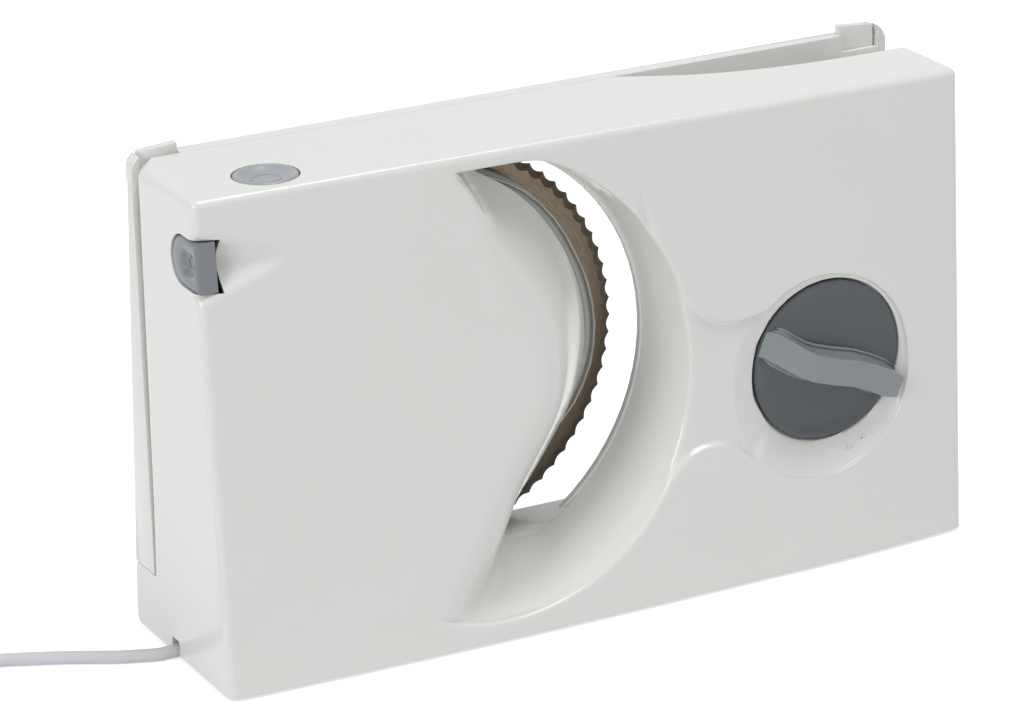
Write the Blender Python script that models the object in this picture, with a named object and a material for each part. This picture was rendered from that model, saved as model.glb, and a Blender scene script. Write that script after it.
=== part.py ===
"""A compact folding food slicer in its storage state: the table is folded up behind the blade.

Design coordinates: x runs from the left end to the right, y from the lower front edge to the back, and z up
from the housing's lower edge. world() moves them so that the origin lies under the middle of the slicer, on
the surface that its feet stand on. All sizes are in metres.
"""

import math

import bmesh
import bpy
from mathutils import Matrix, Vector

mm = 0.001

# Housing
LENGTH = 333 * mm            # housing, left end to right end
HEIGHT = 192.5 * mm          # housing, lower edge to top
DEPTH = 84 * mm              # lower front edge to the back of the base cheeks
WALL = 2.5 * mm              # moulded wall
FACE_LEAN = 24 * mm          # how far the top of the front face sits back, at the left end
TOP_TAPER = 4 * mm           # how much less it sits back at the right end
FACE_BOW = 1.8 * mm          # forward bow of the lower front edge
END_SETBACK = 5.5 * mm       # the lower front edge runs back this far at the right end
BOW_END = LENGTH - 93 * mm           # where the bow ends and the setback begins
EDGE_RADIUS = 3 * mm         # rounding of the front, top and end edges
RIM_LOW = DEPTH - 18 * mm            # back rim of the shell above the cheeks
RIM_HIGH = DEPTH - 7.5 * mm         # back rim of the shell at the top
CHEEK_HEIGHT = 25 * mm       # base cheeks and inner deck
CHEEK_WIDTH = 8 * mm
LEDGE = 0.4 * mm             # the outer wall stands this much higher than the deck
DECK_BACK = DEPTH - 26 * mm          # back edge of the deck under the blade
FLOOR_THICKNESS = 2 * mm     # floor between the cheeks, and the base plate
NARROW_START = LENGTH - 125 * mm      # from here to the right the shell gets shallower
NARROW_BACK = DEPTH - 31 * mm        # back rim at the right end
FOOT_HEIGHT = 1.5 * mm
GAP = 0.3 * mm               # clearance between pieces that touch

# Blade and its drive
BLADE_X = 110.2 * mm
BLADE_Z = 101.7 * mm
BLADE_RADIUS = 85 * mm
BLADE_BACK = DEPTH - 28.4 * mm       # cutting plane
BLADE_THICKNESS = 1.2 * mm
BLADE_BORE = 10 * mm         # radius
BLADE_TEETH = 72
GULLET = 2.2 * mm
WHEEL_TEETH = 72
WHEEL_TIP = 49.2 * mm
WHEEL_ROOT = 47 * mm
WHEEL_FRONT = 23 * mm
WHEEL_FACE = 6 * mm
WORM_DISTANCE = 53.7 * mm    # worm axis to blade axis
WORM_CORE = 4.9 * mm
WORM_THROW = 1.3 * mm
WORM_TURNS = 6
SPINDLE_RADIUS = 4 * mm
BUSH_RADIUS = 6.5 * mm
HUB_RADIUS = 14 * mm
FIT = 0.2 * mm               # radial clearance of shafts and pins

# Slice exit
EXIT_RADIUS = 90 * mm        # inner edge of the exit, about the blade axis
EXIT_DEPTH = DEPTH - 46.4 * mm       # where the exit wall ends, in front of the stop plate
MOUTH_X = 118 * mm           # centre of the wider mouth on the front face
MOUTH_Z = 99 * mm
MOUTH_RADIUS = 90.5 * mm
MOUTH_DEPTH = 8 * mm
MOUTH_TOP = HEIGHT - 5.5 * mm         # the mouth is flat under the top panel
BULGE_LIP = 69 * mm          # radius of the bulge where it meets the blade
BULGE_FLAT = 28 * mm         # radius of its flat middle
BULGE_CLOSED = 104 * mm      # its lip's radius where the crescent is closed
BULGE_DEPTH = DEPTH - 44 * mm
CHUTE_LOW = 4 * mm           # height of the chute floor at the front face
CHUTE_SLOPE = 0.5

# Chassis plate
CHASSIS_FRONT = DEPTH - 37 * mm
CHASSIS_THICKNESS = 3 * mm
CHASSIS_LIP = 74 * mm        # radius of its round edge behind the bulge
CHASSIS_RIM = 2.5 * mm       # width of the raised rim on that edge
POST_RADIUS = 3.8 * mm
SCREW_RADIUS = 1.6 * mm
SCREW_HEAD = 3 * mm
POSTS = ((12 * mm, 110 * mm), (64 * mm, HEIGHT - 11.5 * mm), (84 * mm, 30 * mm))

# Thickness knob and stop plate
KNOB_X = LENGTH - 62.3 * mm
KNOB_Z = 82.4 * mm
KNOB_RADIUS = 33.4 * mm
KNOB_FACE = 14 * mm
KNOB_DISC = 2.6 * mm
GRIP_HEIGHT = 9 * mm
GRIP_WIDTH = 13 * mm
GRIP_LINE = ((-0.84, 0.41), (-0.76, 0.33), (-0.66, 0.25), (-0.55, 0.17), (-0.40, 0.07), (-0.24, -0.003), (0.03, -0.09),
             (0.31, -0.165), (0.55, -0.27), (0.76, -0.383), (0.88, -0.43))  # middle line, in knob radii
HUB_OUTER = 15.9 * mm        # radius of the knob's hub
RETAINER_THICKNESS = 1.2 * mm
DISH_CLEARANCE = 0.8 * mm
DISH_FLARE = 1.15            # growth of the dish radius per depth
DISH_DRIFT = 0.75            # sideways drift of the dish centre per depth
STOP_FRONT = DEPTH - 46 * mm
STOP_THICKNESS = 2.6 * mm
STOP_EDGE = 90.5 * mm        # radius of its concave edge about the blade axis
STOP_LOW = 28 * mm
STOP_HIGH = HEIGHT - 5.5 * mm
STOP_TRAVEL = 15 * mm
KNOB_TURN = math.radians(270)
ROD_RADIUS = 3 * mm
ROD_Z = 37 * mm
ROD_XS = (LENGTH - 111 * mm, LENGTH - 21 * mm)

# Motor
MOTOR_RADIUS = 16.5 * mm
MOTOR_LEFT = 12 * mm
STATOR_LENGTH = 26 * mm
WINDING_LENGTH = 6 * mm
SHAFT_RADIUS = 2.5 * mm
BRACKET_THICKNESS = 5 * mm

# Buttons
SIDE_BUTTON_Z = HEIGHT - 25.8 * mm
SIDE_BUTTON_HALF = 9.7 * mm  # half height, and radius of its round end
SIDE_BUTTON_BACK = 43.4 * mm
SIDE_BUTTON_THICKNESS = 8 * mm
SIDE_GAP = 10.5 * mm         # width of the opening in the front face
BUTTON_CLEARANCE = 0.5 * mm
TOP_BUTTON_X = 37.5 * mm
TOP_BUTTON_Y = 39.3 * mm
TOP_BUTTON_LONG = 13 * mm
TOP_BUTTON_SHORT = 11.3 * mm
BUTTON_TRAVEL = 3 * mm

# Folding table
FRAME_LENGTH = 336 * mm
FRAME_FRONT = DEPTH - 6 * mm
BAR_HEIGHT = 14 * mm
SIDE_WIDTH = 12 * mm
ARM_WIDTH = 3.5 * mm
END_WALL = 3 * mm
NEAR_BAR_LOW = 4 * mm
NEAR_BAR_HIGH = 11 * mm
HINGE_Y = DEPTH - 2.5 * mm
HINGE_Z = 22.2 * mm
HINGE_RADIUS = 1.5 * mm
LEG_LEFT = 3.3 * mm          # from the frame's end to the leg's pocket
LEG_WIDTH = 17 * mm
LEG_THICKNESS = 3.3 * mm
LEG_PIVOT_Z = HEIGHT - 2.5 * mm
LEG_HEAD = 5.3 * mm          # from the pivot to the leg's top

# Carriage and pusher
CARRIAGE_LEFT = 14 * mm
CARRIAGE_WIDTH = 128 * mm
CARRIAGE_FRONT = DEPTH - 10 * mm
CARRIAGE_THICKNESS = 3 * mm
CARRIAGE_LOW = 5 * mm
CARRIAGE_HIGH = HEIGHT - 4.5 * mm
PUSHER_PIVOT_Z = HEIGHT - 27.5 * mm
PUSHER_HEIGHT = 78 * mm
PUSHER_WIDTH = 76 * mm
PUSHER_PIVOT_DEPTH = 5.5 * mm

# Cord
CORD_RADIUS = 2.6 * mm
CORD_Y = 48.8 * mm
COIL_X = -122 * mm
COIL_Y = 41.1 * mm
COIL_START = 92.0          # degrees from +x, where the cord arrives
COIL_TURNS = 2.25            # in each of the two layers
GRIP_LENGTH = 12 * mm        # cord grip
GRIP_HALF = 5 * mm
COIL_RADIUS = 29 * mm        # middle turn
COIL_PITCH = 6 * mm          # from turn to turn and from layer to layer
LOOP_POINTS = 24
PLUG_THICK = 6.85 * mm       # half thickness of the plug

ROUND = 24                   # sides of small round pieces


def world(x, y, z):
    """World position of a point in design coordinates."""
    return Vector((x - FRAME_LENGTH / 2, y - (DEPTH - FACE_BOW) / 2, z + FOOT_HEIGHT))


for old in list(bpy.data.objects):
    bpy.data.objects.remove(old)

parts = bpy.data.collections.new("food_slicer")
cutters = bpy.data.collections.new("cutters")
bpy.context.scene.collection.children.link(parts)
bpy.context.scene.collection.children.link(cutters)


def material(name, color, roughness, metallic=0.0):
    """A Principled material; color is a linear RGB triple."""
    made = bpy.data.materials.new(name)
    made.use_nodes = True
    shader = made.node_tree.nodes["Principled BSDF"]
    shader.inputs["Base Color"].default_value = (*color, 1.0)
    shader.inputs["Roughness"].default_value = roughness
    shader.inputs["Metallic"].default_value = metallic
    made.diffuse_color = (*color, 1.0)
    return made


WHITE = material("white_plastic", (0.83, 0.83, 0.81), 0.15)
DARK_GREY = material("dark_grey_plastic", (0.10, 0.11, 0.115), 0.35)
LIGHT_GREY = material("light_grey_plastic", (0.40, 0.42, 0.44), 0.35)
STEEL = material("steel", (0.55, 0.55, 0.54), 0.3, 1.0)
BLADE_STEEL = material("blade_steel", (0.50, 0.49, 0.47), 0.35, 1.0)
BRASS = material("brass", (0.65, 0.48, 0.22), 0.35, 1.0)
COPPER = material("copper", (0.60, 0.28, 0.15), 0.4, 1.0)
RUBBER = material("rubber", (0.03, 0.03, 0.03), 0.8)
NYLON = material("nylon", (0.72, 0.70, 0.64), 0.45)
BOARD = material("circuit_board", (0.30, 0.20, 0.09), 0.6)
CORD_WHITE = material("cord_white", (0.72, 0.72, 0.76), 0.4)


def place(name, bm, stuff=None, smooth=False):
    """An object from a bmesh in design coordinates; without a material it is a cutter or a guide."""
    bmesh.ops.remove_doubles(bm, verts=bm.verts, dist=0.002 * mm)
    bm.normal_update()
    bent = [face for face in bm.faces
            if max(abs(face.normal.dot(vert.co - face.verts[0].co)) for vert in face.verts) > 0.001 * mm]
    bmesh.ops.triangulate(bm, faces=bent)
    bmesh.ops.recalc_face_normals(bm, faces=bm.faces)
    for vert in bm.verts:
        vert.co = world(*vert.co)
    mesh = bpy.data.meshes.new(name)
    bm.to_mesh(mesh)
    bm.free()
    made = bpy.data.objects.new(name, mesh)
    if stuff is None:
        cutters.objects.link(made)
        made.hide_render = True
        made.display_type = "WIRE"
    else:
        parts.objects.link(made)
        mesh.materials.append(stuff)
    if smooth:
        mesh.shade_smooth()
        mesh.set_sharp_from_angle(angle=math.radians(35))
    return made


def box(low, high):
    """A box between two corners."""
    bm = bmesh.new()
    bmesh.ops.create_cube(bm, size=1.0)
    low, high = Vector(low), Vector(high)
    for vert in bm.verts:
        vert.co = Vector((low[i] + (vert.co[i] + 0.5) * (high[i] - low[i]) for i in range(3)))
    return bm


TURN_TO = {"x": Matrix.Rotation(math.radians(90), 4, "Y"),
           "y": Matrix.Rotation(math.radians(-90), 4, "X"),
           "z": Matrix.Identity(4)}


def rod(start, length, radius, axis, sides=ROUND, end_radius=None):
    """A cylinder, or a cone with end_radius, from its start point along a positive axis."""
    bm = bmesh.new()
    bmesh.ops.create_cone(bm, cap_ends=True, segments=sides, radius1=radius,
                          radius2=radius if end_radius is None else end_radius, depth=length)
    bmesh.ops.translate(bm, verts=bm.verts, vec=(0, 0, length / 2))
    bmesh.ops.transform(bm, verts=bm.verts, matrix=Matrix.Translation(start) @ TURN_TO[axis])
    return bm


def loft(rings):
    """A closed body through rings of equally many points."""
    bm = bmesh.new()
    rows = [[bm.verts.new(point) for point in ring] for ring in rings]
    count = len(rows[0])
    for low, high in zip(rows, rows[1:]):
        for i in range(count):
            bm.faces.new((low[i], low[(i + 1) % count], high[(i + 1) % count], high[i]))
    bm.faces.new(rows[0])
    bm.faces.new(reversed(rows[-1]))
    return bm


def extruded(points, step):
    """A flat outline drawn out along a step."""
    bm = bmesh.new()
    face = bm.faces.new([bm.verts.new(point) for point in points])
    drawn = bmesh.ops.extrude_face_region(bm, geom=[face], use_keep_orig=True)
    bmesh.ops.translate(bm, verts=[item for item in drawn["geom"] if isinstance(item, bmesh.types.BMVert)], vec=step)
    return bm


def slab(outline, front, back):
    """A plate with an outline in x and z between two depths."""
    return extruded([(x, front, z) for x, z in outline], (0, back - front, 0))


def side_slab(outline, left, right):
    """A plate with an outline in y and z between two x values."""
    return extruded([(left, y, z) for y, z in outline], (right - left, 0, 0))


def arc(x, z, radius, start, end, steps):
    """Points on an arc in the x-z plane, angles in degrees from +x towards +z."""
    return [(x + radius * math.cos(math.radians(start + (end - start) * i / steps)),
             z + radius * math.sin(math.radians(start + (end - start) * i / steps))) for i in range(steps + 1)]


def cut(target, *tools):
    """Take cutters away from a piece."""
    for tool in tools:
        modifier = target.modifiers.new(tool.name, "BOOLEAN")
        modifier.operation = "DIFFERENCE"
        modifier.object = tool
    return target


def join(target, *tools):
    """Join guides to a piece."""
    for tool in tools:
        modifier = target.modifiers.new(tool.name, "BOOLEAN")
        modifier.operation = "UNION"
        modifier.object = tool
    return target


def ring(name, stuff, start, length, outer, inner, axis, sides=ROUND):
    """A tube along an axis."""
    made = place(name, rod(start, length, outer, axis, sides), stuff, True)
    start = Vector(start)
    step = {"x": Vector((1, 0, 0)), "y": Vector((0, 1, 0)), "z": Vector((0, 0, 1))}[axis] * mm
    return cut(made, place(name + "_bore", rod(start - step, length + 2 * step.length, inner, axis, sides)))


def pivot(name, point, names):
    """An empty on a joint's axis that carries the pieces which move there."""
    empty = bpy.data.objects.new(name, None)
    empty.location = world(*point)
    parts.objects.link(empty)
    for carried in names:
        made = bpy.data.objects[carried]
        made.parent = empty
        made.matrix_parent_inverse = Matrix.Translation(-empty.location)
    return empty


def smoothstep(value):
    value = max(0.0, min(1.0, value))
    return value * value * (3 - 2 * value)


# Housing

def front_low(x):
    """y of the lower front edge."""
    if x <= BOW_END:
        return -FACE_BOW * math.sin(math.pi * x / BOW_END)
    return END_SETBACK * ((x - BOW_END) / (LENGTH - BOW_END)) ** 2


def front_face(x, z):
    """y of the front face."""
    high = FACE_LEAN - TOP_TAPER * x / LENGTH
    return front_low(x) + (high - front_low(x)) * z / HEIGHT


HOUSING_STATIONS = [0, BOW_END / 4, BOW_END / 2, BOW_END * 3 / 4, BOW_END, (BOW_END + LENGTH) / 2, LENGTH]


def housing_ring(x):
    cheek = CHEEK_HEIGHT + LEDGE
    return [(x, front_face(x, 0), 0), (x, DEPTH, 0), (x, DEPTH, cheek), (x, RIM_LOW, cheek),
            (x, RIM_HIGH, HEIGHT), (x, front_face(x, HEIGHT), HEIGHT)]


def rounded_housing():
    """The solid outside of the housing, with its front, top and end edges rounded."""
    bm = loft([housing_ring(x) for x in HOUSING_STATIONS])
    bm.verts.index_update()
    side = len(housing_ring(0))
    last = len(bm.verts) - side
    edges = []
    for edge in bm.edges:
        low, high = sorted(vert.index for vert in edge.verts)
        along_top = low % side == 5 and high % side == 5
        on_end = (low < side and high < side) or (low >= last and high >= last)
        corner = {low % side, high % side}
        if along_top or (on_end and corner in ({0, 5}, {4, 5})):
            edges.append(edge)
    bmesh.ops.bevel(bm, geom=edges, offset=EDGE_RADIUS, segments=3, profile=0.5, affect="EDGES")
    return bm


def inner_ring(x, low, high, back):
    """A ring of the hollow between two heights, as deep as back."""
    front = [front_face(x, z) + WALL for z in (low, high)]
    return [(x, front[0], low), (x, back, low), (x, back, high), (x, front[1], high)]


def inner_stations():
    return [WALL] + HOUSING_STATIONS[1:-1] + [LENGTH - WALL]


def mouth_ring(y, grow):
    """A ring of the exit's outer wall, flat under the top panel."""
    share = (y - MOUTH_DEPTH) / (EXIT_DEPTH - MOUTH_DEPTH)
    x = MOUTH_X + (BLADE_X - MOUTH_X) * share
    z = MOUTH_Z + (BLADE_Z - MOUTH_Z) * share
    radius = MOUTH_RADIUS + (EXIT_RADIUS - MOUTH_RADIUS) * share + grow
    floor = CHUTE_LOW + CHUTE_SLOPE * y - grow
    top = MOUTH_TOP + 1.6 * grow
    points = arc(x, z, radius, 0, 360, 48)[:-1]
    return [(px, y, max(floor, min(top, pz))) for px, pz in points]


def bulge_radii(angle):
    """Inner and outer radius of the bulge's rounding: both grow past the crescent's upper and lower tips."""
    lip = max(smoothstep((angle - 58) / 62), smoothstep((-angle - 28) / 50))
    flat = max(smoothstep((angle - 60) / 55), smoothstep((-angle - 45) / 55))
    return (BULGE_FLAT + (BULGE_CLOSED - 8 * mm - BULGE_FLAT) * flat,
            BULGE_LIP + (BULGE_CLOSED - BULGE_LIP) * lip)


def bulge_ring(share, shrink):
    """A ring of the bulge between the flat middle, share 0, and the lip, share 1."""
    points = []
    turned = share * math.pi / 2
    for i in range(48):
        angle = -180 + 7.5 * i
        flat, lip = bulge_radii(angle)
        radius = flat + (lip - flat) * math.sin(turned) - shrink
        direction = math.radians(angle)
        x, z = BLADE_X + radius * math.cos(direction), BLADE_Z + radius * math.sin(direction)
        face = front_face(x, z) - 0.2 * mm + shrink
        points.append((x, face + (BULGE_DEPTH - face) * (1 - math.cos(turned)), z))
    return points


def dish_ring(y, grow):
    """A ring of the dish around the knob: an oblique cone."""
    depth = KNOB_FACE - y
    radius = KNOB_RADIUS + DISH_CLEARANCE + DISH_FLARE * depth + grow
    return [(px, y, pz) for px, pz in arc(KNOB_X - DISH_DRIFT * depth, KNOB_Z, radius, 0, 360, 40)[:-1]]


def carve(name, outer_rings, inner_rings):
    """A cutter made of one loft less another."""
    made = place(name, loft(outer_rings))
    if inner_rings:
        cut(made, place(name + "_core", loft(inner_rings)))
    return made


def dish_bottom(grow):
    """The straight pocket under the knob's disc."""
    radius = KNOB_RADIUS + DISH_CLEARANCE + grow
    return [(px, KNOB_FACE + KNOB_DISC + 0.4 * mm + grow, pz)
            for px, pz in arc(KNOB_X, KNOB_Z, radius, 0, 360, 40)[:-1]]


def scoop_rings(grow):
    """The finger scoop beside the on/off button, tapering to a tip."""
    y = front_face(0, SIDE_BUTTON_Z)
    rings = []
    for x, high, deep in ((5 * mm - grow / 2, 12 * mm, 7 * mm), (16 * mm, 8.5 * mm, 4.5 * mm), (36 * mm, 1 * mm, 0.6 * mm)):
        rings.append([(x, y + (deep + grow) * math.cos(turn), SIDE_BUTTON_Z + (high + grow) * math.sin(turn))
                      for turn in (2 * math.pi * i / 20 for i in range(20))])
    return rings


def exit_carve(name, grow, back):
    """The crescent-shaped exit around the bulge, as a cutter."""
    outer = [mouth_ring(y, grow) for y in (-12 * mm, back)]
    inner = [bulge_ring(i / 6, grow) for i in range(7)]
    front = [(x, -14 * mm, z) for x, y, z in inner[0]]
    end = [(x, BULGE_DEPTH + 3 * mm, z) for x, y, z in inner[-1]]
    return carve(name, outer, [front] + inner + [end])


def button_outline(grow, front):
    """Outline of the on/off button in y and z: a round back end, open towards the front."""
    y = SIDE_BUTTON_BACK - SIDE_BUTTON_HALF
    radius = SIDE_BUTTON_HALF + grow
    back = [(y + radius * math.cos(math.radians(a)), SIDE_BUTTON_Z + radius * math.sin(math.radians(a)))
            for a in range(-90, 91, 15)]
    return [(front(SIDE_BUTTON_Z - radius), SIDE_BUTTON_Z - radius)] + back + [
        (front(SIDE_BUTTON_Z + radius), SIDE_BUTTON_Z + radius)]


def top_oval(z, grow):
    return [(TOP_BUTTON_X + (TOP_BUTTON_LONG + grow) * math.cos(a), TOP_BUTTON_Y + (TOP_BUTTON_SHORT + grow) * math.sin(a), z)
            for a in (2 * math.pi * i / 28 for i in range(28))]


def narrow_outline():
    """Plan of what is taken off the back of the shell on the right, in x and y."""
    length = LENGTH - NARROW_START
    curve = []
    for i in range(9):
        share = i / 8
        curve.append((NARROW_START + length * share, NARROW_BACK + (RIM_HIGH - NARROW_BACK) * (1 - share) ** 3))
    return curve + [(LENGTH + 5 * mm, NARROW_BACK), (LENGTH + 5 * mm, DEPTH + 5 * mm),
                    (NARROW_START, DEPTH + 5 * mm)]


def front_wall(x, z):
    """y of the inside of the front wall."""
    return front_face(x, z) + WALL


def make_front_housing():
    housing = place("front_housing", rounded_housing(), WHITE, True)
    hollow = place("upper_hollow", loft([inner_ring(x, CHEEK_HEIGHT, HEIGHT - WALL, DEPTH + 5 * mm)
                                         for x in inner_stations()]))
    cellar = place("lower_hollow", loft([inner_ring(x, -5 * mm, CHEEK_HEIGHT - WALL, DECK_BACK - WALL)
                                         for x in inner_stations()]))
    exit_skin = exit_carve("exit_skin", WALL, EXIT_DEPTH)
    dish_skin = carve("dish_skin", [dish_ring(-8 * mm, WALL), dish_ring(KNOB_FACE, WALL), dish_bottom(WALL)], None)
    scoop_skin = place("scoop_skin", loft(scoop_rings(WALL)))
    cut(hollow, exit_skin, dish_skin, scoop_skin)
    cut(cellar, exit_skin)
    recess = place("table_recess", box((CHEEK_WIDTH, DECK_BACK, FLOOR_THICKNESS),
                                       (LENGTH - CHEEK_WIDTH, DEPTH + 5 * mm, CHEEK_HEIGHT + 5 * mm)))
    narrow = place("narrow_back", loft([[(x, y, z) for x, y in narrow_outline()]
                                        for z in (CHEEK_HEIGHT - LEDGE / 2, HEIGHT + 5 * mm)]))
    opening = exit_carve("exit_opening", 0, BULGE_DEPTH)
    dish = carve("dish", [dish_ring(-8 * mm, 0), dish_ring(KNOB_FACE, 0), dish_bottom(0)], None)
    scoop = place("finger_scoop", loft(scoop_rings(0)))
    hub_hole = place("hub_hole", rod((KNOB_X, KNOB_FACE, KNOB_Z), 10 * mm, HUB_OUTER + FIT, "y", 32))
    side_hole = place("side_button_hole", side_slab(button_outline(BUTTON_CLEARANCE, lambda z: -5 * mm),
                                                    -2 * mm, SIDE_GAP))
    top_hole = place("top_button_hole", loft([top_oval(z, BUTTON_CLEARANCE) for z in (HEIGHT - 6 * mm, HEIGHT + 2 * mm)]))
    cord_slot = place("cord_slot", box((-2 * mm, CORD_Y - 3.3 * mm, -2 * mm), (WALL + 1 * mm, CORD_Y + 3.3 * mm, 6 * mm)))
    reach = BLADE_RADIUS + 2 * mm
    half = math.sqrt(reach ** 2 - (BLADE_Z - CHEEK_HEIGHT) ** 2)
    blade_slot = place("blade_slot", box((BLADE_X - half, BLADE_BACK - 3 * mm, BLADE_Z - reach),
                                         (BLADE_X + half, DECK_BACK + 1 * mm, CHEEK_HEIGHT + 2 * mm)))
    cut(housing, hollow, cellar, recess, narrow, opening, dish, scoop, hub_hole, side_hole, top_hole, cord_slot,
        blade_slot)
    rounded = []
    for name, x in (("left", -1 * mm), ("right", LENGTH - CHEEK_WIDTH - 1 * mm)):
        radius = DEPTH - HINGE_Y
        corner = [(DEPTH + 1 * mm, HINGE_Z)] + [
            (HINGE_Y + radius * math.cos(math.radians(a)), HINGE_Z + radius * math.sin(math.radians(a)))
            for a in (0, 30, 60, 90)] + [(HINGE_Y, CHEEK_HEIGHT + 2 * mm), (DEPTH + 1 * mm, CHEEK_HEIGHT + 2 * mm)]
        rounded.append(place("cheek_corner_" + name, side_slab(corner, x, x + CHEEK_WIDTH + 2 * mm)))
        start = 2 * mm if name == "left" else LENGTH - CHEEK_WIDTH - 1 * mm
        rounded.append(place("hinge_hole_" + name, rod((start, HINGE_Y, HINGE_Z), CHEEK_WIDTH - 1 * mm,
                                                       HINGE_RADIUS + FIT, "x", 16)))
    cut(housing, *rounded)
    for index, (x, z) in enumerate(POSTS, 1):
        start = front_wall(x, z) - 1 * mm
        join(housing, place(f"post_{index}", rod((x, start, z), CHASSIS_FRONT - GAP - start, POST_RADIUS, "y", 16)))
        cut(housing, place(f"post_hole_{index}", rod((x, CHASSIS_FRONT - 12 * mm, z), 13 * mm, SCREW_RADIUS + FIT,
                                                     "y", 12)))
    boss = front_wall(BLADE_X, BLADE_Z) - 1 * mm
    join(housing, place("spindle_boss", rod((BLADE_X, boss, BLADE_Z), WHEEL_FRONT - 2 * mm - boss, 8 * mm, "y")))
    cut(housing, place("spindle_socket", rod((BLADE_X, boss + 2 * mm, BLADE_Z), 20 * mm, SPINDLE_RADIUS + FIT, "y")))
    for index, x in enumerate(ROD_XS, 1):
        start = front_wall(x, ROD_Z) - 1 * mm
        join(housing, place(f"rod_boss_{index}", rod((x, start, ROD_Z), 9 * mm, 5.5 * mm, "y", 16)))
        cut(housing, place(f"rod_socket_{index}", rod((x, start + 3 * mm, ROD_Z), 8 * mm, ROD_RADIUS + FIT, "y", 16)))
    return housing


def make_base():
    rings = []
    for x in [WALL + GAP] + HOUSING_STATIONS[1:-1] + [LENGTH - WALL - GAP]:
        front, back = front_wall(x, FLOOR_THICKNESS) + GAP, DECK_BACK - WALL - GAP
        rings.append([(x, front, 0), (x, back, 0), (x, back, FLOOR_THICKNESS), (x, front, FLOOR_THICKNESS)])
    plate = place("base_plate", loft(rings), WHITE)
    cut(plate, place("cord_notch", box((0, CORD_Y - GRIP_HALF - GAP, -1 * mm), (WALL + GRIP_LENGTH + 2 * GAP, DECK_BACK, 4 * mm))))
    feet = {"front_left": (20 * mm, 16 * mm), "front_right": (LENGTH - 11 * mm, 16 * mm),
            "rear_left": (18 * mm, DEPTH - 12 * mm), "rear_right": (LENGTH - 18 * mm, DEPTH - 12 * mm)}
    for name, (x, y) in feet.items():
        place("foot_" + name, rod((x, y, -FOOT_HEIGHT), FOOT_HEIGHT - GAP, 8 * mm, "z"), RUBBER, True)
    for index, x in enumerate((60 * mm, LENGTH - 123 * mm, LENGTH - 33 * mm), 1):
        y = 36 * mm
        cut(plate, place(f"base_hole_{index}", rod((x, y, -1 * mm), 5 * mm, SCREW_RADIUS + FIT, "z", 12)))
        head = place(f"base_screw_{index}", rod((x, y, -1.1 * mm), 1.1 * mm - GAP, SCREW_HEAD, "z", 16), STEEL, True)
        join(head, place(f"base_shank_{index}", rod((x, y, -0.8 * mm), 14 * mm, SCREW_RADIUS, "z", 12)))
        post = place(f"base_post_{index}", rod((x, y, FLOOR_THICKNESS + GAP), CHEEK_HEIGHT - WALL - FLOOR_THICKNESS + 1 * mm,
                                                  POST_RADIUS, "z", 16))
        join(bpy.data.objects["front_housing"], post)
        cut(bpy.data.objects["front_housing"],
            place(f"base_post_hole_{index}", rod((x, y, 0), 14 * mm, SCREW_RADIUS + FIT, "z", 12)))


# Chassis plate and blade drive

def make_chassis():
    inset = WALL + 0.5 * mm
    outline = [(inset, CHEEK_HEIGHT + 0.5 * mm), (inset, HEIGHT - WALL - 0.5 * mm),
               (BLADE_X, HEIGHT - WALL - 0.5 * mm)]
    outline += arc(BLADE_X, BLADE_Z, CHASSIS_LIP, 88, -62, 20)
    outline += [(outline[-1][0], CHEEK_HEIGHT + 0.5 * mm)]
    plate = place("chassis_plate", slab(outline, CHASSIS_FRONT, CHASSIS_FRONT + CHASSIS_THICKNESS), WHITE, True)
    rim = arc(BLADE_X, BLADE_Z, CHASSIS_LIP - 0.2 * mm, 80, -60, 20) + arc(
        BLADE_X, BLADE_Z, CHASSIS_LIP - CHASSIS_RIM, -60, 80, 20)
    join(plate, place("chassis_rim", slab(rim, BULGE_DEPTH + 0.6 * mm, CHASSIS_FRONT + 1 * mm)))
    shelf_z = HEIGHT - 23 * mm
    join(plate, place("button_shelf", box((TOP_BUTTON_X - 9 * mm, TOP_BUTTON_Y - 9 * mm, shelf_z),
                                          (TOP_BUTTON_X + 9 * mm, CHASSIS_FRONT + 1 * mm, shelf_z + 2.5 * mm))))
    cut(plate,
        place("button_notch", box((TOP_BUTTON_X - 16 * mm, CHASSIS_FRONT - 2 * mm, HEIGHT - 11 * mm),
                                  (TOP_BUTTON_X + 16 * mm, CHASSIS_FRONT + 5 * mm, HEIGHT))),
        place("shelf_hole", rod((TOP_BUTTON_X, TOP_BUTTON_Y, shelf_z - 1 * mm), 5 * mm, 4 * mm + FIT, "z", 16)),
        place("hub_opening", rod((BLADE_X, CHASSIS_FRONT - 2 * mm, BLADE_Z), 8 * mm, HUB_RADIUS + 0.5 * mm, "y", 32)))
    back = CHASSIS_FRONT + CHASSIS_THICKNESS
    for index, (x, z) in enumerate(POSTS, 1):
        cut(plate, place(f"chassis_hole_{index}", rod((x, CHASSIS_FRONT - 2 * mm, z), 8 * mm, SCREW_RADIUS + FIT, "y", 12)))
        head = place(f"chassis_screw_{index}", rod((x, back + GAP, z), 2 * mm, SCREW_HEAD, "y", 16), STEEL, True)
        join(head, place(f"chassis_shank_{index}", rod((x, back - 11 * mm, z), 12 * mm, SCREW_RADIUS, "y", 12)))


def toothed(teeth, radius_at, steps):
    """Outline of a toothed disc about the blade axis; radius_at takes the place within one tooth, 0 to 1."""
    points = []
    for i in range(teeth * steps):
        radius = radius_at((i % steps) / steps)
        turn = 2 * math.pi * i / (teeth * steps)
        points.append((BLADE_X + radius * math.cos(turn), BLADE_Z + radius * math.sin(turn)))
    return points


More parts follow.
